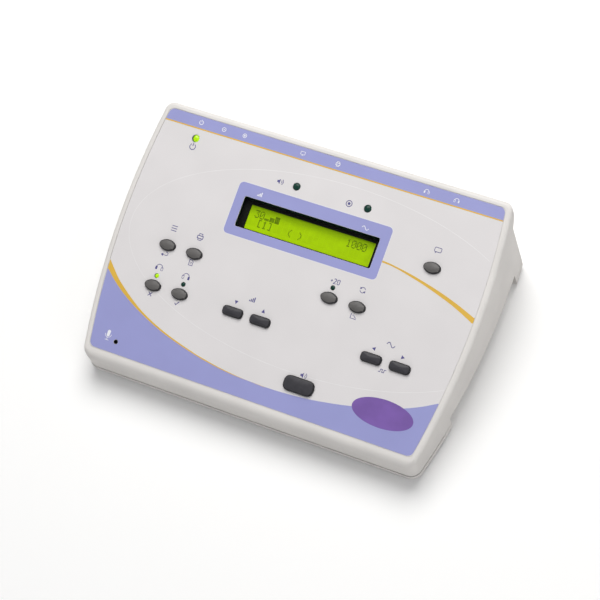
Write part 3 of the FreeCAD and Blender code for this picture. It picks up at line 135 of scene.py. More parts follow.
# Fitted to the photograph, as directions and a place on the panel.
VIEW_RIGHT = along_panel(0.889367, 0.339880, -0.305793)
VIEW_UP = along_panel(-0.292710, 0.937092, 0.190227)
VIEW_PLACE = on_panel(524.57, -128.13, 1361.98)
NEAREST, FARTHEST = 0.05, 20.0
camera_data = bpy.data.cameras.new("camera")
camera_data.sensor_width = SENSOR
camera_data.lens = SENSOR * FOCAL_IN_WIDTHS
camera_data.clip_start = NEAREST
camera_data.clip_end = FARTHEST
camera = bpy.data.objects.new("camera", camera_data)
bpy.context.scene.collection.objects.link(camera)
turn = Matrix((VIEW_RIGHT, VIEW_UP, VIEW_RIGHT.cross(VIEW_UP))).transposed()
camera.matrix_world = Matrix.Translation(VIEW_PLACE) @ turn.to_4x4()
bpy.context.scene.camera = camera
bpy.context.scene.view_settings.view_transform = "Standard"

# ---------------------------------------------------------------- materials


def linear(rgb):
    """A colour as seen on a screen, 0 to 255, as the shader's linear values."""
    out = []
    for value in rgb:
        c = value / 255
        out.append(c / 12.92 if c <= 0.04045 else ((c + 0.055) / 1.055) ** 2.4)
    return (*out, 1.0)


def tinted(rgb, share):
    return tuple(min(255.0, c * (1.0 + share)) for c in rgb)


# The noise values between which a colour goes from its darker to its lighter shade, and the gloss
# from its highest to its lowest.
COLOUR_BAND = (0.35, 0.65)
GLOSS_BAND = (0.3, 0.7)
FINE_DETAIL, BROAD_DETAIL = 3.0, 2.0


def noise(tree, place, size, detail):
    """A noise of a size in millimetres, fixed to the object."""
    node = tree.nodes.new("ShaderNodeTexNoise")
    node.inputs["Scale"].default_value = 1.0 / MM / size
    node.inputs["Detail"].default_value = detail
    tree.links.new(place.outputs["Object"], node.inputs["Vector"])
    return node.outputs["Fac"]


def surface(
    name, rgb, roughness, grain=0.5, depth=0.01, tint=0.03, patch=12.0, spread=0.06, metallic=0.0,
    specular=0.5,
):
    """A surface with a moulded or brushed grain: grain and patch are sizes in millimetres, depth the
    height of the grain, tint the share by which the colour wanders, spread that of the gloss."""
    material = bpy.data.materials.new(name)
    material.use_nodes = True
    tree = material.node_tree
    shader = tree.nodes["Principled BSDF"]
    place = tree.nodes.new("ShaderNodeTexCoord")
    fine = noise(tree, place, grain, FINE_DETAIL)
    broad = noise(tree, place, patch, BROAD_DETAIL)
    ramp = tree.nodes.new("ShaderNodeValToRGB")
    for stop, position, share in zip(ramp.color_ramp.elements, COLOUR_BAND, (-tint, tint)):
        stop.position = position
        stop.color = linear(tinted(rgb, share))
    tree.links.new(broad, ramp.inputs["Fac"])
    tree.links.new(ramp.outputs["Color"], shader.inputs["Base Color"])
    gloss = tree.nodes.new("ShaderNodeMapRange")
    gloss.inputs["From Min"].default_value = GLOSS_BAND[0]
    gloss.inputs["From Max"].default_value = GLOSS_BAND[1]
    gloss.inputs["To Min"].default_value = max(0.0, roughness - spread)
    gloss.inputs["To Max"].default_value = min(1.0, roughness + spread)
    tree.links.new(fine, gloss.inputs["Value"])
    tree.links.new(gloss.outputs["Result"], shader.inputs["Roughness"])
    bump = tree.nodes.new("ShaderNodeBump")
    bump.inputs["Strength"].default_value = 1.0
    bump.inputs["Distance"].default_value = depth * MM
    tree.links.new(fine, bump.inputs["Height"])
    tree.links.new(bump.outputs["Normal"], shader.inputs["Normal"])
    shader.inputs["Metallic"].default_value = metallic
    shader.inputs["Specular IOR Level"].default_value = specular
    return material


def see_through(material, alpha):
    shader = material.node_tree.nodes["Principled BSDF"]
    shader.inputs["Alpha"].default_value = alpha
    return material


def shaded(material, rgb, coordinate, direction, start, end, glow=None):
    """Paints shade: turns the colour to rgb where a coordinate, measured along a direction, is below start, and
    leaves it as it is above end. With glow, the surface glows in the same colours."""
    tree = material.node_tree
    shader = tree.nodes["Principled BSDF"]
    body_colour = shader.inputs["Base Color"].links[0].from_socket
    place = tree.nodes.new("ShaderNodeTexCoord")
    reach = tree.nodes.new("ShaderNodeVectorMath")
    reach.operation = "DOT_PRODUCT"
    reach.inputs[1].default_value = direction
    tree.links.new(place.outputs[coordinate], reach.inputs[0])
    share = tree.nodes.new("ShaderNodeMapRange")
    share.interpolation_type = "SMOOTHSTEP"
    share.inputs["From Min"].default_value = start
    share.inputs["From Max"].default_value = end
    tree.links.new(reach.outputs["Value"], share.inputs["Value"])
    mix = tree.nodes.new("ShaderNodeMix")
    mix.data_type = "RGBA"
    mix.inputs["A"].default_value = linear(rgb)
    tree.links.new(share.outputs["Result"], mix.inputs["Factor"])
    tree.links.new(body_colour, mix.inputs["B"])
    tree.links.new(mix.outputs["Result"], shader.inputs["Base Color"])
    if glow is not None:
        tree.links.new(mix.outputs["Result"], shader.inputs["Emission Color"])
        shader.inputs["Emission Strength"].default_value = glow
    return material


# How squarely a face looks along the given direction where the painted shade ends and the colour is full.
RIM_SHADE_TURN = (0.80, 0.99)
LENS_SHADE_TURN = (0.15, 0.60)
# The direction towards which a lamp's lens is painted lit; the flank turned away takes painted shade.
PAINTED_LENS_LIGHT = along_panel(0.8, 0.0, 0.6)
# How far up the panel the painted shadow on the display is full and where it ends, in millimetres.
DISPLAY_SHADOW_FULL, DISPLAY_SHADOW_END = 38.5, 31.5


def paint_rim_shade(material, rgb):
    """Paints shade on what turns away from the panel's face."""
    return shaded(material, rgb, "Normal", OUT, *RIM_SHADE_TURN)


def lens_with_painted_shade(material, rgb, glow):
    """A glowing lens with painted shade on its left flank."""
    return shaded(material, rgb, "Normal", PAINTED_LENS_LIGHT, *LENS_SHADE_TURN, glow)


def paint_top_shadow(material, rgb, glow):
    """Paints the bezel's shadow on a display: its colour and its glow darken towards its top."""
    base = PANEL_ORIGIN.dot(UP)
    start, end = (-base - reach * MM for reach in (DISPLAY_SHADOW_FULL, DISPLAY_SHADOW_END))
    return shaded(material, rgb, "Object", -UP, start, end, glow)


PANEL_GREY = (224, 221, 222)
LAVENDER = (155, 158, 211)
GOLD = (224, 181, 71)
INK = (88, 85, 142)
VIOLET = (124, 93, 169)
DISPLAY_GLOW = 0.20
LAMP_GLOW = 0.50
WINDOW_ALPHA = 0.03


def key_plastic(name, rgb, rim_shade, tint):
    """The matt moulded plastic of a key cap, with painted shade round its edge."""
    return paint_rim_shade(surface(name, rgb, 0.45, 0.30, 0.006, tint, 3.0, specular=0.3), rim_shade)


def cell_glass(name, rgb, top, grain, patch):
    """Green display glass with a painted shadow towards its top."""
    glass = surface(name, rgb, 0.55, grain, 0.001, 0.02, patch, spread=0.05, specular=0.1)
    return paint_top_shadow(glass, top, DISPLAY_GLOW)


def printed(name, rgb, roughness, tint, patch):
    """Ink or film with the overlay's fine grain."""
    return surface(name, rgb, roughness, 0.25, 0.003, tint, patch)


# Each surface: its name, colour, roughness, grain, depth, tint and patch, then what is unusual.
SLOT_MATERIALS = {
    "case": surface("case_plastic", (225, 222, 219), 0.48, 0.35, 0.012, 0.012, 30.0),
    "overlay": printed("overlay_film", PANEL_GREY, 0.38, 0.008, 40.0),
    "clear_window": see_through(
        surface("window_acrylic", (20, 22, 20), 0.05, 4.0, 0.0005, 0.02, 9.0, spread=0.02, specular=0.10),
        WINDOW_ALPHA,
    ),
    # The display glass's second colour is the painted shadow at its top.
    "display_glass": cell_glass("display_glass", (166, 205, 0), (138, 176, 0), 0.4, 18.0),
    "black_metal": surface(
        "black_steel", (10, 12, 9), 0.65, 0.4, 0.006, 0.10, 5.0, spread=0.05, specular=0.2
    ),
    # Each key's second colour is the painted shade round the edge of its cap.
    "grey_key": key_plastic("grey_key_plastic", (100, 98, 97), (44, 43, 45), 0.03),
    "dark_key": key_plastic("dark_key_plastic", (60, 59, 64), (30, 29, 33), 0.04),
    # The lit lamps' second colour is the painted shade on the left flank of their lenses.
    "lit_lamp": lens_with_painted_shade(
        surface("lit_lamp", (158, 204, 4), 0.20, 1.0, 0.004, 0.10, 1.2), (22, 50, 14), LAMP_GLOW
    ),
    "dark_lamp": surface("dark_lamp", (12, 56, 46), 0.35, 1.0, 0.004, 0.15, 1.2, specular=0.3),
    "circuit_board": surface("solder_resist", (34, 104, 62), 0.35, 1.5, 0.02, 0.12, 2.5, spread=0.08),
    "white_plastic": surface("white_plastic", (222, 222, 218), 0.45, 0.5, 0.01, 0.02, 8.0),
    "black_plastic": surface("black_plastic", (38, 38, 40), 0.50, 0.3, 0.012, 0.10, 6.0),
    "rocker_plastic": surface("rocker_plastic", (30, 30, 32), 0.22, 0.6, 0.004, 0.10, 6.0),
    "panel_plastic": surface("panel_plastic", (214, 212, 207), 0.50, 0.4, 0.012, 0.02, 20.0),
    "ribbon": surface("ribbon_cable", (170, 170, 168), 0.55, 1.2, 0.05, 0.05, 4.0),
    "rubber": surface("rubber", (36, 36, 36), 0.80, 0.4, 0.03, 0.10, 3.0),
    "steel": surface(
        "zinc_steel", (186, 186, 184), 0.30, 0.3, 0.008, 0.05, 2.0, spread=0.10, metallic=1.0
    ),
    "brass": surface("brass", (201, 166, 92), 0.30, 0.3, 0.008, 0.06, 2.0, spread=0.10, metallic=1.0),
    "nickel": surface("nickel", (196, 193, 188), 0.24, 0.4, 0.006, 0.05, 3.0, spread=0.08, metallic=1.0),
}

# Each print: its name, colour, roughness, tint and patch.
PRINTS = {
    "film": SLOT_MATERIALS["overlay"],
    "lavender": printed("lavender_print", LAVENDER, 0.40, 0.010, 30.0),
    "gold": printed("gold_print", GOLD, 0.38, 0.015, 20.0),
    "ink": printed("ink_print", INK, 0.42, 0.03, 6.0),
    "white": printed("white_print", (240, 240, 246), 0.40, 0.01, 10.0),
    "pale": printed("pale_print", (232, 230, 231), 0.40, 0.01, 10.0),
    "violet": printed("violet_print", VIOLET, 0.36, 0.03, 12.0),
    "pixel": surface(
        "display_pixels", (100, 130, 4), 0.55, 0.3, 0.001, 0.08, 3.0, spread=0.05, specular=0.1
    ),
    # The cells' second colour is the painted shadow at their top.
    "cell": cell_glass("display_cells", (162, 201, 0), (134, 172, 0), 0.3, 6.0),
}

for part in frame["record"]["subparts"]:
    node = frame["nodes"][part["node"]]
    for holder in node.material_slots:
        holder.link = "OBJECT"
        holder.material = SLOT_MATERIALS[part["material_slot"]]


def add_mesh(name, points, faces, material):
    """Adds a mesh of one material to the scene."""
    mesh = bpy.data.meshes.new(name)
    mesh.from_pydata(points, [], faces)
    mesh.materials.append(material)
    piece = bpy.data.objects.new(name, mesh)
    bpy.context.scene.collection.objects.link(piece)
    return piece


# ---------------------------------------------------------------- printed shapes

FULL_TURN = 360
CORNER_STEPS = 6


def arc(cx, cy, radius, start, end, steps=24, flat=1.0):
    """Points on an arc, angles in degrees from +u towards +v. flat is the height by the width."""
    out = []
    for i in range(steps + 1):
        angle = math.radians(start + (end - start) * i / steps)
        out.append((cx + radius * math.cos(angle), cy + radius * flat * math.sin(angle)))
    return out


def circle(cx, cy, radius, steps, flat=1.0):
    """A closed loop, whose last point isn't its first again."""
    return arc(cx, cy, radius, 0, FULL_TURN, steps, flat)[:-1]


def round_box(cx, cy, half_u, half_v, corner):
    """A rounded rectangle, anticlockwise."""
    out = []
    for turn, (side_u, side_v) in enumerate(((1, 1), (-1, 1), (-1, -1), (1, -1))):
        middle_u = cx + side_u * (half_u - corner)
        middle_v = cy + side_v * (half_v - corner)
        out += arc(middle_u, middle_v, corner, 90 * turn, 90 * turn + 90, CORNER_STEPS)
    return out


SPAN_STEPS = 24
BEND_DEGREES = 10


def overlay_span(v_low, v_high, inset):
    """The overlay's outline between two heights, with its rounded corners where they fall inside."""
    corner = OVERLAY_CORNER - inset
    top = OVERLAY_REACH - inset
    heights = {v_low + (v_high - v_low) * i / SPAN_STEPS for i in range(SPAN_STEPS + 1)}
    for degrees in range(0, 91, BEND_DEGREES):
        bend = top - corner + corner * math.sin(math.radians(degrees))
        heights |= {v for v in (bend, -bend) if v_low < v < v_high}
    right = []
    for v in sorted(heights):
        u = half_width(v, inset)
        into = max(abs(v) - (top - corner), 0.0)
        u -= corner - math.sqrt(max(corner**2 - into**2, 0.0))
        right.append((u, v))
    return right + [(-u, v) for u, v in reversed(right)]


NOTHING = 1e-9


def resampled(points, count):
    """A smooth curve through given points, as count + 1 points of a Catmull-Rom spline."""
    out = []
    pieces = len(points) - 1
    for i in range(count + 1):
        t = min(i / count * pieces, pieces - NOTHING)
        k = int(t)
        f = t - k
        near = [points[min(max(j, 0), pieces)] for j in (k - 1, k, k + 1, k + 2)]
        out.append(
            tuple(
                0.5
                * (
                    2 * b
                    + (c - a) * f
                    + (2 * a - 5 * b + 4 * c - d) * f**2
                    + (3 * b - a - 3 * c + d) * f**3
                )
                for a, b, c, d in zip(*near)
            )
        )
    return out


# A line's outer edge reaches no further at a sharp bend than half its width over this.
SHARPEST = 0.45


class Print:
    """Flat shapes of one colour, gathered into one mesh, on the panel or another plane."""

    def __init__(self):
        self.points = []
        self.faces = []

    def fill(self, loop, *holes):
        """Fills a loop of points, but for its holes."""
        start = len(self.points)
        loops = [[Vector((u, v, 0.0)) for u, v in part] for part in (loop, *holes)]
        flat = [p for part in loops for p in part]
        self.points += [(p.x, p.y) for p in flat]
        for a, b, c in tessellate_polygon(loops):
            area = (flat[b] - flat[a]).cross(flat[c] - flat[a]).z
            order = (a, b, c) if area > 0 else (a, c, b)
            if abs(area) > NOTHING:
                self.faces.append(tuple(start + k for k in order))

    def line(self, points, width, closed=False):
        """Draws a line of one width, its bends mitred."""
        start = len(self.points)
        count = len(points)
        for i, (u, v) in enumerate(points):
            before = Vector(points[i - 1] if closed or i else points[0])
            after = Vector(points[(i + 1) % count] if closed or i < count - 1 else points[-1])
            here = Vector((u, v))
            one = (here - before).normalized() if (here - before).length > NOTHING else None
            two = (after - here).normalized() if (after - here).length > NOTHING else None
            one = one or two
            two = two or one
            across = Vector((-one.y, one.x))
            side = Vector((-(one.y + two.y), one.x + two.x))
            side = side.normalized() if side.length > NOTHING else across
            reach = width / 2 / max(side.dot(across), SHARPEST)
            self.points.append((u - side.x * reach, v - side.y * reach))
            self.points.append((u + side.x * reach, v + side.y * reach))
        for i in range(count if closed else count - 1):
            a = start + 2 * i
            b = start + 2 * ((i + 1) % count)
            self.faces.append((a, b, b + 1, a + 1))

    def box(self, left, bottom, right, top):
        """Fills a rectangle."""
        self.fill([(left, bottom), (right, bottom), (right, top), (left, top)])

    def disc(self, cx, cy, radius, steps=20):
        self.fill(circle(cx, cy, radius, steps))

    def ring(self, cx, cy, radius, width, steps=28):
        self.line(circle(cx, cy, radius, steps), width, closed=True)

    def make(self, name, print_name, w, slot="overlay", place=on_panel, body="case"):
        """Lays the shapes at a height over a plane, whose place() turns (u, v, w) into a place."""
        points = [place(u, v, w) for u, v in self.points]
        piece = add_mesh(name, points, self.faces, PRINTS[print_name])
        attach(piece, body)
        return piece


LAYER = 0.02


def layer(count):
    """The height of a layer of ink on the overlay."""
    return OVERLAY_TOP + LAYER * count


# areas of colour

# The prints end this far inside the overlay's edge.
INSET = 0.12


def at_edge(point, side):
    """Where the colour ends beside a point, side 1 to the right and -1 to the left."""
    return side * half_width(point[1], INSET), point[1]


# The strip along the rear edge, above a thin gold line.
STRIP_LINE = 75.4
STRIP_BELOW, STRIP_ABOVE = 0.45, 0.40
lavender = Print()
lavender.fill(overlay_span(STRIP_LINE, OVERLAY_REACH - INSET, INSET))
# Middle, half sizes and corner radius of the colour round the display and of the bare window in it.
BEZEL = (-0.05, 32.75, 55.35, 17.85, 3.0)
WINDOW = (0.0, 31.5, 49.1, 10.5, 1.3)
lavender.fill(round_box(*BEZEL), round_box(*WINDOW))
# The upper edge of the colour along the front.
WAVE = [
    (-126.0, -29.5), (-121.5, -33.2), (-115.5, -38.2), (-107.5, -43.6), (-98.0, -48.9), (-88.0, -53.6),
    (-76.0, -58.4), (-64.0, -62.2), (-48.0, -66.2), (-32.0, -69.3), (-16.1, -71.2), (-2.0, -71.7),
    (13.2, -71.9), (27.2, -71.3), (41.2, -70.1), (54.8, -68.1), (68.0, -65.6), (84.0, -61.6),
    (99.6, -57.0), (111.5, -52.0), (119.0, -48.0), (127.0, -43.4),
]
WAVE_STEPS = 90
# The whole wave lies below this height.
WAVE_TOP = -25.0
wave = [p for p in resampled(WAVE, WAVE_STEPS) if abs(p[0]) < half_width(p[1], INSET)]
edge = overlay_span(-OVERLAY_REACH + INSET, WAVE_TOP, INSET)
right_edge = [p for p in edge if p[0] > 0 and p[1] < wave[-1][1]]
left_edge = [p for p in edge if p[0] < 0 and p[1] < wave[0][1]]
MICROPHONE = [middle(reach) for reach in spans(panel_points("microphone"))[:2]]
MICROPHONE_HOLE = 1.7
HOLE_STEPS = 20
lavender.fill(
    left_edge + right_edge + [at_edge(wave[-1], 1)] + wave[::-1] + [at_edge(wave[0], -1)],
    circle(*MICROPHONE, MICROPHONE_HOLE, HOLE_STEPS),
)
lavender.make("print_lavender", "lavender", layer(1))

# Gold lines: along the strip, over the wave on the left, and from the display to the right.
gold = Print()
strip_reach = half_width(STRIP_LINE, INSET)
gold.box(-strip_reach, STRIP_LINE - STRIP_BELOW, strip_reach, STRIP_LINE + STRIP_ABOVE)
GOLD_LEFT_TOP = [
    (-126.5, -22.6), (-124.1, -25.4), (-118.5, -31.1), (-112.1, -37.0), (-101.2, -44.6), (-91.4, -50.4),
    (-82.2, -54.7), (-73.2, -58.2), (-64.6, -61.0), (-56.3, -63.3), (-47.9, -65.4), (-39.8, -67.2),
    (-24.2, -69.8), (-8.0, -71.4), (10.0, -72.2),
]
GOLD_LEFT_STEPS, GOLD_RIGHT_STEPS = 80, 50
gold_top = [p for p in resampled(GOLD_LEFT_TOP, GOLD_LEFT_STEPS) if -p[0] < half_width(p[1], INSET)]
gold_low = [p for p in wave if p[0] < GOLD_LEFT_TOP[-1][0]]
gold.fill([at_edge(gold_low[0], -1)] + gold_low + gold_top[::-1] + [at_edge(gold_top[0], -1)])
GOLD_RIGHT_TOP = [
    (55.35, 28.6), (60.8, 28.2), (68.3, 27.1), (75.7, 25.9), (83.2, 24.3), (91.0, 22.5), (98.5, 20.6),
    (106.3, 18.3), (114.1, 15.7), (122.1, 12.7), (128.0, 10.3),
]
GOLD_RIGHT_LOW = [
    (55.35, 27.5), (62.0, 27.0), (68.7, 25.9), (76.4, 24.2), (84.0, 22.4), (91.6, 20.3), (99.4, 17.9),
    (107.4, 15.3), (115.3, 12.2), (123.4, 8.6), (128.5, 5.9),
]
right_top, right_low = (
    [p for p in resampled(line, GOLD_RIGHT_STEPS) if p[0] < half_width(p[1], INSET)]
    for line in (GOLD_RIGHT_TOP, GOLD_RIGHT_LOW)
)
gold.fill(right_low + [at_edge(right_low[-1], 1), at_edge(right_top[-1], 1)] + right_top[::-1])
gold.make("print_gold", "gold", layer(2))

# The violet oval, left bare: its middle and half sizes.
plate = Print()
PLATE_MIDDLE = (89.8, -63.8)
PLATE_HALF_U, PLATE_HALF_V = 21.2, 9.1
PLATE_STEPS = 64
plate.fill(circle(*PLATE_MIDDLE, PLATE_HALF_U, PLATE_STEPS, PLATE_HALF_V / PLATE_HALF_U))
plate.make("print_plate", "violet", layer(3))

# signs

# Widths of finer lines, as shares of the pen's.
STROKE, THIN, CURVE, FINE = 0.9, 0.8, 0.7, 0.6
SINE_STEPS = 24


class Signs(Print):
    """Pictograms in place of words, each about its own middle, its points in shares of its size."""

    pen = 0.50

    def draw(self, points, share=1.0, closed=False):
        """Draws a line as wide as the pen, or as a share of it."""
        self.line(points, self.pen * share, closed)

    def power(self, u, v, size=2.0):
        self.draw(arc(u, v, size, 122, 418))
        self.draw([(u, v + size * 0.2), (u, v + size * 1.35)])

    def speaker(self, u, v, size=2.0):
        self.fill(
            [
                (u - size, v - 0.35 * size), (u - 0.55 * size, v - 0.35 * size), (u, v - 0.9 * size),
                (u, v + 0.9 * size), (u - 0.55 * size, v + 0.35 * size), (u - size, v + 0.35 * size),
            ]
        )
        self.draw(arc(u, v, size * 0.65, -48, 48, 10), THIN)
        self.draw(arc(u, v, size * 1.15, -48, 48, 12), THIN)

    def push_button(self, u, v, size=2.0):
        self.ring(u, v, size, self.pen)
        self.disc(u, v, size * 0.45)

    def bars(self, u, v, size=2.0):
        for row in (-1, 0, 1):
            self.draw([(u - size, v + row * size * 0.8), (u + size, v + row * size * 0.8)])

    def printer(self, u, v, size=2.0):
        self.draw(
            [(u - size, v - 0.5 * size), (u + size, v - 0.5 * size), (u + size, v + 0.4 * size),
             (u - size, v + 0.4 * size)],
            closed=True,
        )
        self.draw(
            [(u - 0.6 * size, v + 0.4 * size), (u - 0.6 * size, v + 1.1 * size),
             (u + 0.6 * size, v + 1.1 * size), (u + 0.6 * size, v + 0.4 * size)],
            THIN,
        )
        self.draw(
            [(u - 0.6 * size, v - 0.5 * size), (u - 0.6 * size, v - 1.1 * size),
             (u + 0.6 * size, v - 1.1 * size), (u + 0.6 * size, v - 0.5 * size)],
            THIN,
        )

    def back_arrow(self, u, v, size=2.0):
        self.draw(
            [(u - size * 0.7, v - size * 0.3), (u + size * 0.6, v - size * 0.3)]
            + arc(u + size * 0.6, v + size * 0.25, size * 0.55, -90, 90, 10)
            + [(u + size * 0.2, v + size * 0.8)],
            THIN,
        )
        self.fill(
            [(u - size * 1.3, v - size * 0.3), (u - size * 0.5, v - size * 0.85),
             (u - size * 0.5, v + size * 0.25)]
        )

    def page(self, u, v, size=1.8):
        self.draw(
            [(u - 0.75 * size, v - size), (u + 0.75 * size, v - size), (u + 0.75 * size, v + 0.5 * size),
             (u + 0.25 * size, v + size), (u - 0.75 * size, v + size)],
            THIN, closed=True,
        )
        for row in (-0.4, 0.1):
            self.draw([(u - 0.4 * size, v + row * size), (u + 0.4 * size, v + row * size)], FINE)

    def headphones(self, u, v, filled, size=2.2):
        self.draw(arc(u, v - 0.2 * size, size, 0, 180, 18), THIN)
        for side in (-1, 1):
            cup_u, cup_v = u + side * size * 0.95, v - 0.45 * size
            cup = round_box(cup_u, cup_v, 0.32 * size, 0.5 * size, 0.2 * size)
            if side == filled:
                self.fill(cup)
            else:
                self.draw(cup, FINE, closed=True)

    def cross(self, u, v, size=1.3):
        self.draw([(u - size, v - size), (u + size, v + size)])
        self.draw([(u - size, v + size), (u + size, v - size)])

    def tick(self, u, v, size=1.4):
        self.draw([(u - size, v), (u - 0.3 * size, v - 0.8 * size), (u + size, v + 0.9 * size)])

    def rising(self, u, v, size=2.1):
        for step in range(4):
            left, foot = u - size + step * size * 0.52, v - size * 0.8
            self.box(left, foot, left + size * 0.34, foot + size * (0.5 + 0.38 * step))

    def arrowhead(self, u, v, turn, size=1.5):
        points = ((1.0, 0.0), (-0.6, 0.85), (-0.6, -0.85))
        c, s = math.cos(math.radians(turn)), math.sin(math.radians(turn))
        self.fill([(u + size * (a * c - b * s), v + size * (a * s + b * c)) for a, b in points])

    def strokes(self, u, v, height, lines):
        """Lines drawn on a grid two wide and four high."""
        unit = height / 4
        for part in lines:
            self.draw([(u + a * unit, v + (b - 2) * unit) for a, b in part], STROKE)

    def plus_twenty(self, u, v, height=3.1):
        """The sign +20, on the grid of strokes."""
        unit = height / 4
        plus = ([(0, 2), (2, 2)], [(1, 1), (1, 3)])
        two = ([(0, 3.4), (0.4, 4), (1.6, 4), (2, 3.4), (2, 2.7), (0, 0), (2.1, 0)],)
        nought = (
            [(0.5, 0), (1.5, 0), (2, 0.6), (2, 3.4), (1.5, 4), (0.5, 4), (0, 3.4), (0, 0.6), (0.5, 0)],
        )
        for step, lines in ((-4.2, plus), (-1.2, two), (2.0, nought)):
            self.strokes(u + step * unit, v, height, lines)

    def round_trip(self, u, v, size=1.8):
        for start in (20, 200):
            self.draw(arc(u, v, size, start, start + 125, 14), THIN)
            angle = math.radians(start + 130)
            self.arrowhead(
                u + size * math.cos(angle), v + size * math.sin(angle), start + 225, size * 0.5
            )

    def chart(self, u, v, size=2.0):
        self.draw(
            [(u - size, v + size * 0.8), (u - size, v - size * 0.8), (u + size, v - size * 0.8)], THIN
        )
        self.draw(
            [(u - size * 0.6, v + size * 0.2), (u - size * 0.1, v + size * 0.4),
             (u + size * 0.4, v - size * 0.2), (u + size * 0.9, v - size * 0.4)],
            CURVE,
        )

    def sine(self, u, v, size=2.9):
        points = []
        for i in range(SINE_STEPS + 1):
            t = i / SINE_STEPS
            points.append((u - size + 2 * size * t, v + size * 0.48 * math.sin(2 * math.pi * t)))
        self.draw(points)

    def square_wave(self, u, v, size=2.6):
        q = size / 2
        self.draw(
            [(u - size, v - q * 0.7), (u - q, v - q * 0.7), (u - q, v + q * 0.7), (u, v + q * 0.7),
             (u, v - q * 0.7), (u + q, v - q * 0.7), (u + q, v + q * 0.7), (u + size, v + q * 0.7)],
            THIN,
        )

    def speech(self, u, v, size=2.3):
        self.draw(round_box(u, v + 0.15 * size, size, 0.62 * size, 0.3 * size), THIN, closed=True)
        self.fill(
            [(u - 0.6 * size, v - 0.4 * size), (u - 0.1 * size, v - 0.4 * size),
             (u - 0.7 * size, v - size)]
        )

    def barrel_plug(self, u, v, size=1.6):
        self.ring(u, v, size, self.pen)
        self.disc(u, v, size * 0.3)

    def screen(self, u, v, size=1.8):
        self.draw(round_box(u, v + 0.15 * size, size, 0.65 * size, 0.1 * size), THIN, closed=True)
        self.draw([(u - 0.5 * size, v - 0.85 * size), (u + 0.5 * size, v - 0.85 * size)], THIN)

    def voice(self, u, v, size=2.2):
        self.fill(round_box(u, v + 0.45 * size, 0.3 * size, 0.62 * size, 0.29 * size))
        self.draw(arc(u, v + 0.3 * size, 0.62 * size, 180, 360, 14), THIN)
        self.draw([(u, v - 0.32 * size), (u, v - 0.8 * size)], THIN)
        self.draw([(u - 0.4 * size, v - 0.8 * size), (u + 0.4 * size, v - 0.8 * size)], THIN)


# Each stands where the photograph has its word, and the white ones lie on the coloured areas.
ink = Signs()
ink.power(-96.5, 62.6)
ink.speaker(-29.3, 57.6)
ink.push_button(20.9, 57.2)
ink.bars(-88.4, 7.2)
ink.printer(-68.8, 7.0)
ink.back_arrow(-88.6, -10.9)
ink.page(-68.8, -10.9)
ink.headphones(-88.8, -20.0, -1)
ink.headphones(-68.6, -20.3, 1)
ink.cross(-88.6, -38.9)
ink.tick(-68.4, -39.1)
ink.rising(-19.1, -21.1)
ink.arrowhead(-29.2, -25.9, -90)
ink.arrowhead(-9.2, -26.3, 90)
ink.plus_twenty(30.2, 6.6)
ink.round_trip(49.6, 6.7)
ink.chart(49.8, -11.0)
ink.sine(79.8, -20.9)
ink.arrowhead(70.0, -26.4, 180)
ink.arrowhead(89.9, -26.1, 0)
ink.square_wave(80.0, -38.2)
ink.speaker(31.4, -57.0)
ink.speech(88.0, 45.4)
ink.make("print_signs", "ink", layer(2))

white = Signs()
white.pen = 0.42
white.power(-96.4, 79.7, 1.4)
white.barrel_plug(-79.3, 79.6, 1.3)
white.push_button(-63.9, 79.6, 1.3)
white.screen(-21.0, 79.6, 1.5)
white.printer(4.5, 79.6, 1.4)
white.headphones(67.7, 79.5, -1, 1.5)
white.headphones(88.6, 79.5, 1, 1.5)
white.rising(-39.4, 45.6, 1.8)
white.sine(37.0, 45.2, 2.4)
white.voice(-106.6, -73.6, 3.6)
white.make("print_white_signs", "white", layer(4))

# Pale lines: one round the colour at the display, and a wide oval on the bare panel.
halo = Print()
HALO = 0.35
halo.line(round_box(*BEZEL[:2], *(reach + HALO / 2 for reach in BEZEL[2:])), HALO, closed=True)
OVAL_MIDDLE = (20.0, 5.5)
OVAL_HALF_U, OVAL_HALF_V = 140.0, 63.0
OVAL_LINE = 0.40
oval = arc(*OVAL_MIDDLE, OVAL_HALF_U, 0, FULL_TURN, FULL_TURN, OVAL_HALF_V / OVAL_HALF_U)


def on_bare_panel(u, v):
    """Whether a point lies on the overlay and outside the colour round the display."""
    if abs(u) > half_width(v, INSET + OVAL_LINE):
        return False
    return abs(u - BEZEL[0]) > BEZEL[2] or abs(v - BEZEL[1]) > BEZEL[3]


run = []
for u, v in oval + [oval[0]]:
    if on_bare_panel(u, v):
        run.append((u, v))
        continue
    if len(run) > 1:
        halo.line(run, OVAL_LINE)
    run = []
if len(run) > 1:
    halo.line(run, OVAL_LINE)
halo.make("print_halo", "pale", layer(0.5))

# ---------------------------------------------------------------- key caps and lamps


def at_height(loop, w):
    return [(u, v, w) for u, v in loop]


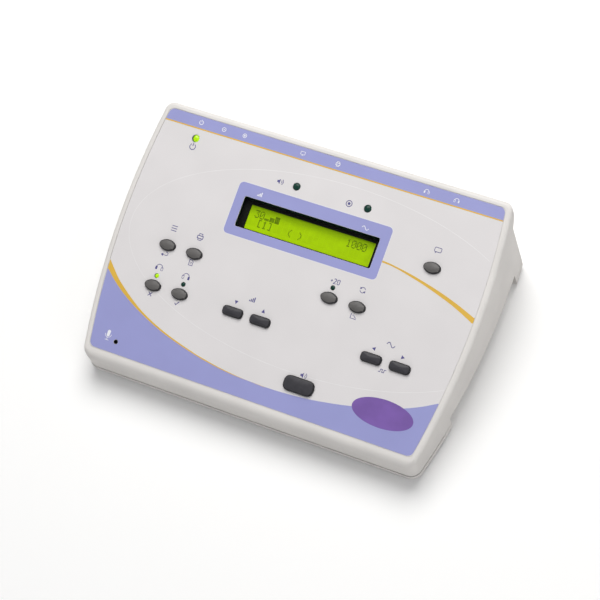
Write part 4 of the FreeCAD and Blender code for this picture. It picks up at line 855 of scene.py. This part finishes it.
class Moulding:
    """A smooth piece built of closed rings of points, in panel coordinates."""

    def __init__(self):
        self.points = []
        self.faces = []

    def stack(self, rings):
        """Joins rings of equal length from the lowest to the highest and closes both ends."""
        count = len(rings[0])
        start = len(self.points)
        for ring in rings:
            self.points += ring
        for level in range(len(rings) - 1):
            base = start + level * count
            for i in range(count):
                j = (i + 1) % count
                self.faces.append((base + i, base + j, base + count + j, base + count + i))
        self.faces.append(tuple(start + i for i in reversed(range(count))))
        last = start + (len(rings) - 1) * count
        self.faces.append(tuple(last + i for i in range(count)))

    def tube(self, rings):
        """Joins rings of equal length one after the other, and the last to the first."""
        count = len(rings[0])
        start = len(self.points)
        for ring in rings:
            self.points += ring
        for level in range(len(rings)):
            base = start + level * count
            over = start + (level + 1) % len(rings) * count
            for i in range(count):
                j = (i + 1) % count
                self.faces.append((base + i, base + j, over + j, over + i))

    def block(self, us, vs, ws):
        """A box between the pairs of values."""
        corners = [(us[0], vs[0]), (us[1], vs[0]), (us[1], vs[1]), (us[0], vs[1])]
        self.stack([at_height(corners, w) for w in ws])

    def make(self, node, slot, smooth=True):
        """Adds the piece, its sides shaded smooth and its ends flat."""
        points = [on_panel(*p) for p in self.points]
        piece = add_mesh(node + "_moulded", points, self.faces, SLOT_MATERIALS[slot])
        smooth_faces = [smooth and len(face) == 4 for face in self.faces]
        piece.data.polygons.foreach_set("use_smooth", smooth_faces)
        return piece


SIDE_STEPS, TIP_STEPS = 12, 6


def eye_outline(half_u, half_v, tip, inset):
    """A pointed oval of two arcs, its tips rounded by a radius, drawn in by inset."""
    radius = (half_u**2 + half_v**2) / (2 * half_v)
    drop = radius - half_v
    corner = math.sqrt((radius - tip) ** 2 - drop**2)
    lean = math.degrees(math.asin(corner / (radius - tip)))
    big, small = radius - inset, tip - inset
    return (
        arc(0, -drop, big, 90 - lean, 90 + lean, SIDE_STEPS)
        + arc(-corner, 0, small, 90 + lean, 270 - lean, TIP_STEPS)
        + arc(0, drop, big, 270 - lean, 270 + lean, SIDE_STEPS)
        + arc(corner, 0, small, 270 + lean, 450 - lean, TIP_STEPS)
    )


def bar_outline(half_u, half_v, corner, inset):
    """A rounded bar, drawn in by inset."""
    return round_box(0, 0, half_u - inset, half_v - inset, corner - inset)


EYE_TIP = 2.5
BAR_CORNER = 2.3
WIDE_CORNER = 3.9
EDGE_ROUND = 1.2
EDGE_STEPS = 5
DOME = 0.5
DOME_SHARES = (0.85, 0.7, 0.5, 0.3, 0.1)
# Of the 0.3 mm that the solids leave round each key, the caps take a part.
CAP_GROWTH = 0.15
# The film leaves this gap round an eye-shaped key, and its collar covers the pointed slot.
FILM_GAP = 0.12
COLLAR_U, COLLAR_V = 1.1, 0.5
# Points that differ less than the first in height are level, and more than the second, a level apart.
SAME_LEVEL = 0.05
NEXT_LEVEL = 0.1
films = Print()


def key_cap(node, slot, outline, corner, grow_u):
    """A cap with a rounded edge and a low dome, on the flange and stem of its solid."""
    points = panel_points(node)
    levels = sorted({round(w, 2) for u, v, w in points})
    stem_bottom, flange_bottom, flange_top, top = levels[0], levels[1], levels[2], levels[-1]
    cap_u, cap_v = spans([(u, v) for u, v, w in points if w > flange_top + NEXT_LEVEL])
    cu, cv = middle(cap_u), middle(cap_v)
    half_u, half_v = half(cap_u) + grow_u, half(cap_v) + CAP_GROWTH
    if outline is eye_outline:
        films.fill(
            round_box(cu, cv, half_u + COLLAR_U, half_v + COLLAR_V, half_v - COLLAR_V),
            [(cu + u, cv + v) for u, v in outline(half_u, half_v, corner, -FILM_GAP)],
        )
    profile = [(0.0, flange_top)]
    shoulder = top - DOME - EDGE_ROUND
    for inset, rise in arc(EDGE_ROUND, 0.0, EDGE_ROUND, 180, 90, EDGE_STEPS):
        profile.append((inset, shoulder + rise))
    rings = [
        [(cu + u, cv + v, w) for u, v in outline(half_u, half_v, corner, inset)] for inset, w in profile
    ]
    brim = rings[-1]
    for share in DOME_SHARES:
        w = top - DOME * share**2
        rings.append([(cu + (u - cu) * share, cv + (v - cv) * share, w) for u, v, _ in brim])
    cap = Moulding()
    cap.stack(rings)
    for level, low_w, high_w in (
        (flange_top, flange_bottom, flange_top), (stem_bottom, stem_bottom, flange_bottom)
    ):
        us, vs = spans([(u, v) for u, v, w in points if abs(w - level) < SAME_LEVEL])
        cap.block(us, vs, (low_w, high_w))
    piece = cap.make(node, slot)
    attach(piece, node)
    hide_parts(node)


for node in ("menu", "print", "left", "right", "boost", "auto", "talk"):
    key_cap("key_" + node, "grey_key", eye_outline, EYE_TIP, 0.0)
for node in ("level_down", "level_up", "tone_down", "tone_up"):
    key_cap("key_" + node, "dark_key", bar_outline, BAR_CORNER, CAP_GROWTH)
key_cap("key_present", "dark_key", bar_outline, WIDE_CORNER, CAP_GROWTH)
films.make("overlay_round_keys", "film", layer(0.3))


LENS_LENGTH = 3.0
LENS_STEPS = 32
# The crown's height by its radius, and the angle up to which it is drawn, in steps.
CROWN_SHARE = 0.5
CROWN_ANGLE, CROWN_STEPS = 84, 7
# A lens's points lie on its radius to within this.
ON_RADIUS = 0.02


def lamp(node, slot):
    """A lens with a round crown on its barrel, and two leads."""
    points = panel_points(node)
    lead_bottom, top = span([w for u, v, w in points])
    lens_u, lens_v = spans([(u, v) for u, v, w in points if w > top - LENS_LENGTH])
    cu, cv = middle(lens_u), middle(lens_v)
    radius = half(lens_u)
    crown = radius * CROWN_SHARE
    feet = [(u, v) for u, v, w in points if w < lead_bottom + NEXT_LEVEL]
    above = [(u, w) for u, v, w in points if w > lead_bottom + NEXT_LEVEL]
    barrel = min(w for u, w in above if abs(u - cu) > radius - ON_RADIUS)
    profile = [(radius, barrel)]
    profile += arc(0.0, top - crown, radius, 0, CROWN_ANGLE, CROWN_STEPS, CROWN_SHARE)
    body = Moulding()
    body.stack([at_height(circle(cu, cv, reach, LENS_STEPS), w) for reach, w in profile])
    for foot in ([p for p in feet if p[0] < cu], [p for p in feet if p[0] > cu]):
        us, vs = spans(foot)
        body.block(us, vs, (lead_bottom, barrel + (us[1] - us[0])))
    piece = body.make(node, slot)
    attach(piece, "case")
    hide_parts(node)


for node in ("power", "left"):
    lamp("lamp_" + node, "lit_lamp")
for node in ("present", "response", "right", "boost"):
    lamp("lamp_" + node, "dark_lamp")

# ---------------------------------------------------------------- display

# Each character's seven rows of five dots.
DOT_SHAPES = {
    "0": "01110 10001 10011 10101 11001 10001 01110",
    "1": "00100 01100 00100 00100 00100 00100 01110",
    "3": "11111 00010 00100 00010 00001 10001 01110",
    "[": "01110 01000 01000 01000 01000 01000 01110",
    "]": "01110 00010 00010 00010 00010 00010 01110",
    "(": "00010 00100 01000 01000 01000 00100 00010",
    ")": "01000 00100 00010 00010 00010 00100 01000",
    "low": "00000 00000 00000 00000 00000 11111 11111",
    "mid": "00000 00000 00000 11111 11111 11111 11111",
    "full": "00000 11111 11111 11111 11111 11111 11111",
}
frame_u, frame_v, (frame_low, frame_high) = spans(panel_points("display_frame"))
glass_u, glass_v, glass_w = spans(panel_points("display_glass"))
GLASS_FACE = glass_w[1]
FRAME_CORNER = 0.9
# The frame clears the glass by a gap, and its inner corners are all but sharp.
FRAME_GAP = 0.1
INNER_CORNER = 0.05
# The opening's left, lower, right and upper edge.
VIEW = (-44.5, 22.2, 45.7, 38.4)
VIEW_CORNER = 0.6


def box_ring(left, bottom, right, top, corner, w):
    """A rounded rectangle between its edges, at a height."""
    middle_u, middle_v = (left + right) / 2, (bottom + top) / 2
    flat = round_box(middle_u, middle_v, (right - left) / 2, (top - bottom) / 2, corner)
    return at_height(flat, w)


pan = (frame_u[0], frame_v[0], frame_u[1], frame_v[1], FRAME_CORNER)
opening = (*VIEW, VIEW_CORNER)
inside = (
    glass_u[0] - FRAME_GAP, glass_v[0] - FRAME_GAP, glass_u[1] + FRAME_GAP, glass_v[1] + FRAME_GAP,
    INNER_CORNER,
)
display_frame = Moulding()
display_frame.tube(
    [
        box_ring(*loop, w) for loop, w in (
            (pan, frame_low), (pan, frame_high), (opening, frame_high), (opening, GLASS_FACE),
            (inside, GLASS_FACE), (inside, frame_low),
        )
    ]
)
frame_piece = display_frame.make("display_frame", "black_metal", smooth=False)
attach(frame_piece, "case")
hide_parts("display_frame")

COLUMNS = 24
PITCH = 3.7
CELL_START = 0.25
DOTS_ACROSS, DOTS_DOWN = 5, 7
DOT = 0.62
DOT_STEP = 0.66
DOT_ROW = 0.76
ROW_GAP = 0.08
# A cell is larger than its dots: this much to the left, and this share of a dot above and below.
CELL_MARGIN = 0.05
# The middle of each row of characters, and what its columns show.
ROWS = (
    (33.5, {1: "3", 2: "0", 3: "low", 4: "mid", 5: "full", 19: "1", 20: "0", 21: "0", 22: "0"}),
    (27.8, {2: "[", 3: "1", 4: "]", 8: "(", 10: ")"}),
)
pixels = Print()
cells = Print()


def cell_left(index):
    return (index - COLUMNS / 2) * PITCH + CELL_START


def character(index, row_middle, shape):
    """Draws the lit dots of one character."""
    for down, bits in enumerate(DOT_SHAPES[shape].split()):
        for along, bit in enumerate(bits):
            if bit == "1":
                left = cell_left(index) + along * DOT_STEP
                top = row_middle + (DOTS_DOWN / 2 - down) * DOT_ROW
                pixels.box(left, top - DOT_ROW + ROW_GAP, left + DOT, top)


cell_reach = (DOTS_DOWN / 2 + CELL_MARGIN) * DOT_ROW
for row_middle, characters in ROWS:
    for index in range(COLUMNS):
        left = cell_left(index)
        right = left + DOTS_ACROSS * DOT_STEP
        cells.box(left - CELL_MARGIN, row_middle - cell_reach, right, row_middle + cell_reach)
    for index, shape in characters.items():
        character(index, row_middle, shape)
cells.make("display_cells", "cell", GLASS_FACE + LAYER, "display_glass")
pixels.make("display_pixels", "pixel", GLASS_FACE + 2 * LAYER, "display_glass")

# the dark sleeve that lines the microphone's hole

SLEEVE_LOW, SLEEVE_HIGH = -3.4, -0.25
SLEEVE_OUTER, SLEEVE_INNER = 1.5, 1.15
SLEEVE_STEPS = 24
SLEEVE_PROFILE = (
    (SLEEVE_OUTER, SLEEVE_LOW), (SLEEVE_OUTER, SLEEVE_HIGH),
    (SLEEVE_INNER, SLEEVE_HIGH), (SLEEVE_INNER, SLEEVE_LOW),
)
sleeve = Moulding()
sleeve.tube([at_height(circle(*MICROPHONE, radius, SLEEVE_STEPS), w) for radius, w in SLEEVE_PROFILE])
sleeve_piece = sleeve.make("microphone_sleeve", "black_plastic", smooth=False)
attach(sleeve_piece, "case")

# the power rocker's marks: a bar on the half that is pressed in, a ring on the other

# A face of the rocker looks backwards when its normal's share along +y is over this.
FACES_BACK = 0.85
MARK_LIFT = 0.03
BAR_HALF_U, BAR_HALF_V = 0.3, 1.6
RING_RADIUS, RING_LINE = 1.4, 0.5


def on_rocker(upper):
    """Gives the function that turns (u, v, w) on one half of the rocker's face into a place."""
    mesh = frame["nodes"]["power_rocker"].data
    hinge = middle([corner.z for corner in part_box("power_rocker")])
    faces = [p for p in mesh.polygons if p.normal.y > FACES_BACK and (p.center.z > hinge) == upper]
    widest = max(faces, key=lambda p: p.area)
    out = widest.normal.copy()
    corners = [mesh.vertices[i].co for p in faces if p.area > widest.area / 2 for i in p.vertices]
    centre = Vector([middle(reach) for reach in spans(corners)])
    across = Vector((-1.0, 0.0, 0.0))
    up = out.cross(across)
    return lambda u, v, w: centre + (across * u + up * v + out * w) * MM


bar = Print()
bar.box(-BAR_HALF_U, -BAR_HALF_V, BAR_HALF_U, BAR_HALF_V)
bar.make("print_rocker_bar", "white", MARK_LIFT, "rocker_plastic", on_rocker(False), "power_rocker")
ring = Print()
ring.ring(0.0, 0.0, RING_RADIUS, RING_LINE)
ring.make("print_rocker_ring", "white", MARK_LIFT, "rocker_plastic", on_rocker(True), "power_rocker")

# ---------------------------------------------------------------- lip along the parting line

# The tray's upper edge stands a little proud of the shell, as far as the finger grips.
PARTING_HEIGHT = 6.9
LIP_LOW = 0.7
LIP_PROUD = 0.4
LIP_ROOT = -0.1
LIP_END = -49.5
# Its outline, bevelled above: how far out, and how far up from the parting line.
LIP_PROFILE = (
    (LIP_ROOT, 0.0), (LIP_PROUD * 0.7, 0.0), (LIP_PROUD, -LIP_PROUD * 0.4), (LIP_PROUD, -LIP_LOW),
    (LIP_ROOT, -LIP_LOW),
)


def case_outline(height):
    """The outermost points of the case at a height, from the left side over the front to the right."""
    found = set()
    for vertex in frame["nodes"]["base_housing"].data.vertices:
        x, y, z = (c / MM for c in vertex.co)
        if abs(z - height) < SAME_LEVEL and y < LIP_END:
            found.add((round(x, 3), round(y, 3)))
    hull = []
    for x, y in sorted(found):
        while len(hull) > 1:
            (x0, y0), (x1, y1) = hull[-2:]
            if (x1 - x0) * (y - y0) > (y1 - y0) * (x - x0):
                break
            hull.pop()
        hull.append((x, y))
    return hull


lip_path = case_outline(PARTING_HEIGHT)
lip_points, lip_faces = [], []
for i, here in enumerate(lip_path):
    before, after = Vector(lip_path[max(i - 1, 0)]), Vector(lip_path[min(i + 1, len(lip_path) - 1)])
    away = Vector(((after - before).y, -(after - before).x)).normalized()
    for reach, rise in LIP_PROFILE:
        spot = Vector(here) + away * reach
        lip_points.append((spot.x * MM, spot.y * MM, (PARTING_HEIGHT + rise) * MM))
sides = len(LIP_PROFILE)
for i in range(len(lip_path) - 1):
    for k in range(sides):
        a, b = i * sides + k, i * sides + (k + 1) % sides
        lip_faces.append((a, a + sides, b + sides, b))
lip_faces.append(tuple(range(sides)))
lip_faces.append(tuple(reversed(range(len(lip_points) - sides, len(lip_points)))))
lip = add_mesh("parting_lip", lip_points, lip_faces, SLOT_MATERIALS["case"])
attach(lip, "case")

# ---------------------------------------------------------------- light, floor and background


def area(name, place, aim, size, power, rgb=(1.0, 1.0, 1.0)):
    """A round lamp: where it stands and aims, in metres, its width and its watts."""
    data = bpy.data.lights.new(name, "AREA")
    data.shape = "DISK"
    data.size = size
    data.energy = power
    data.color = rgb
    light = bpy.data.objects.new(name, data)
    light.location = place
    light.rotation_mode = "QUATERNION"
    light.rotation_quaternion = (Vector(aim) - Vector(place)).to_track_quat("-Z", "Y")
    bpy.context.scene.collection.objects.link(light)


area("overhead", (-0.15, 0.9, 1.55), (0.0, 0.0, 0.03), 1.5, 31.0, (1.0, 0.99, 0.97))
area("right", (1.5, -0.3, 0.6), (0.0, 0.0, 0.05), 2.0, 9.4)
area("left", (-1.6, -0.2, 0.45), (0.0, 0.0, 0.04), 2.0, 3.6)
area("front", (-0.3, -1.7, 0.24), (0.0, 0.0, 0.03), 1.1, 6.2)


def coloured(tree, kind, rgb, strength=None):
    """Adds a shader of one plain colour."""
    node = tree.nodes.new(kind)
    node.inputs["Color"].default_value = (*rgb, 1.0)
    if strength is not None:
        node.inputs["Strength"].default_value = strength
    return node


def by_viewer(tree, output, lighting, seen):
    """Lights the scene with one shader and shows the camera another."""
    rays = tree.nodes.new("ShaderNodeLightPath")
    choice = tree.nodes.new("ShaderNodeMixShader")
    tree.links.new(rays.outputs["Is Camera Ray"], choice.inputs[0])
    tree.links.new(lighting.outputs[0], choice.inputs[1])
    tree.links.new(seen.outputs[0], choice.inputs[2])
    tree.links.new(choice.outputs[0], output.inputs["Surface"])


WHITE = (1.0, 1.0, 1.0)
# The floor's colour for the light that it returns, and for the camera with a little glow.
FLOOR_BOUNCE = (0.70, 0.69, 0.68)
FLOOR_SEEN = (0.96, 0.96, 0.96)
FLOOR_GLOW = 0.04
# Over these distances from the part, in metres, the floor fades into the white background.
FADE_START, FADE_END = 0.35, 1.10
# The soft light from all round.
SOFT_LIGHT = (0.97, 0.98, 1.0)
SOFT_STRENGTH = 0.20
FLOOR_REACH = 6.0
floor_look = bpy.data.materials.new("floor")
floor_look.use_nodes = True
tree = floor_look.node_tree
tree.nodes.clear()
plain = coloured(tree, "ShaderNodeBsdfDiffuse", FLOOR_BOUNCE)
pale = coloured(tree, "ShaderNodeBsdfDiffuse", FLOOR_SEEN)
glow = coloured(tree, "ShaderNodeEmission", WHITE, FLOOR_GLOW)
near = tree.nodes.new("ShaderNodeAddShader")
tree.links.new(pale.outputs[0], near.inputs[0])
tree.links.new(glow.outputs[0], near.inputs[1])
far = coloured(tree, "ShaderNodeEmission", WHITE, 1.0)
place = tree.nodes.new("ShaderNodeTexCoord")
distance = tree.nodes.new("ShaderNodeVectorMath")
distance.operation = "LENGTH"
tree.links.new(place.outputs["Object"], distance.inputs[0])
away = tree.nodes.new("ShaderNodeMapRange")
away.interpolation_type = "SMOOTHSTEP"
away.inputs["From Min"].default_value = FADE_START
away.inputs["From Max"].default_value = FADE_END
tree.links.new(distance.outputs["Value"], away.inputs["Value"])
both = tree.nodes.new("ShaderNodeMixShader")
tree.links.new(away.outputs["Result"], both.inputs[0])
tree.links.new(near.outputs[0], both.inputs[1])
tree.links.new(far.outputs[0], both.inputs[2])
by_viewer(tree, tree.nodes.new("ShaderNodeOutputMaterial"), plain, both)
floor_corners = [(x * FLOOR_REACH, y * FLOOR_REACH, 0) for x, y in ((-1, -1), (1, -1), (1, 1), (-1, 1))]
floor = add_mesh("floor", floor_corners, [(0, 1, 2, 3)], floor_look)
floor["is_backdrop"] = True

world = bpy.data.worlds.new("studio")
bpy.context.scene.world = world
world.use_nodes = True
tree = world.node_tree
tree.nodes.clear()
soft = coloured(tree, "ShaderNodeBackground", SOFT_LIGHT, SOFT_STRENGTH)
backdrop = coloured(tree, "ShaderNodeBackground", WHITE, 1.0)
by_viewer(tree, tree.nodes.new("ShaderNodeOutputWorld"), soft, backdrop)

low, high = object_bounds()
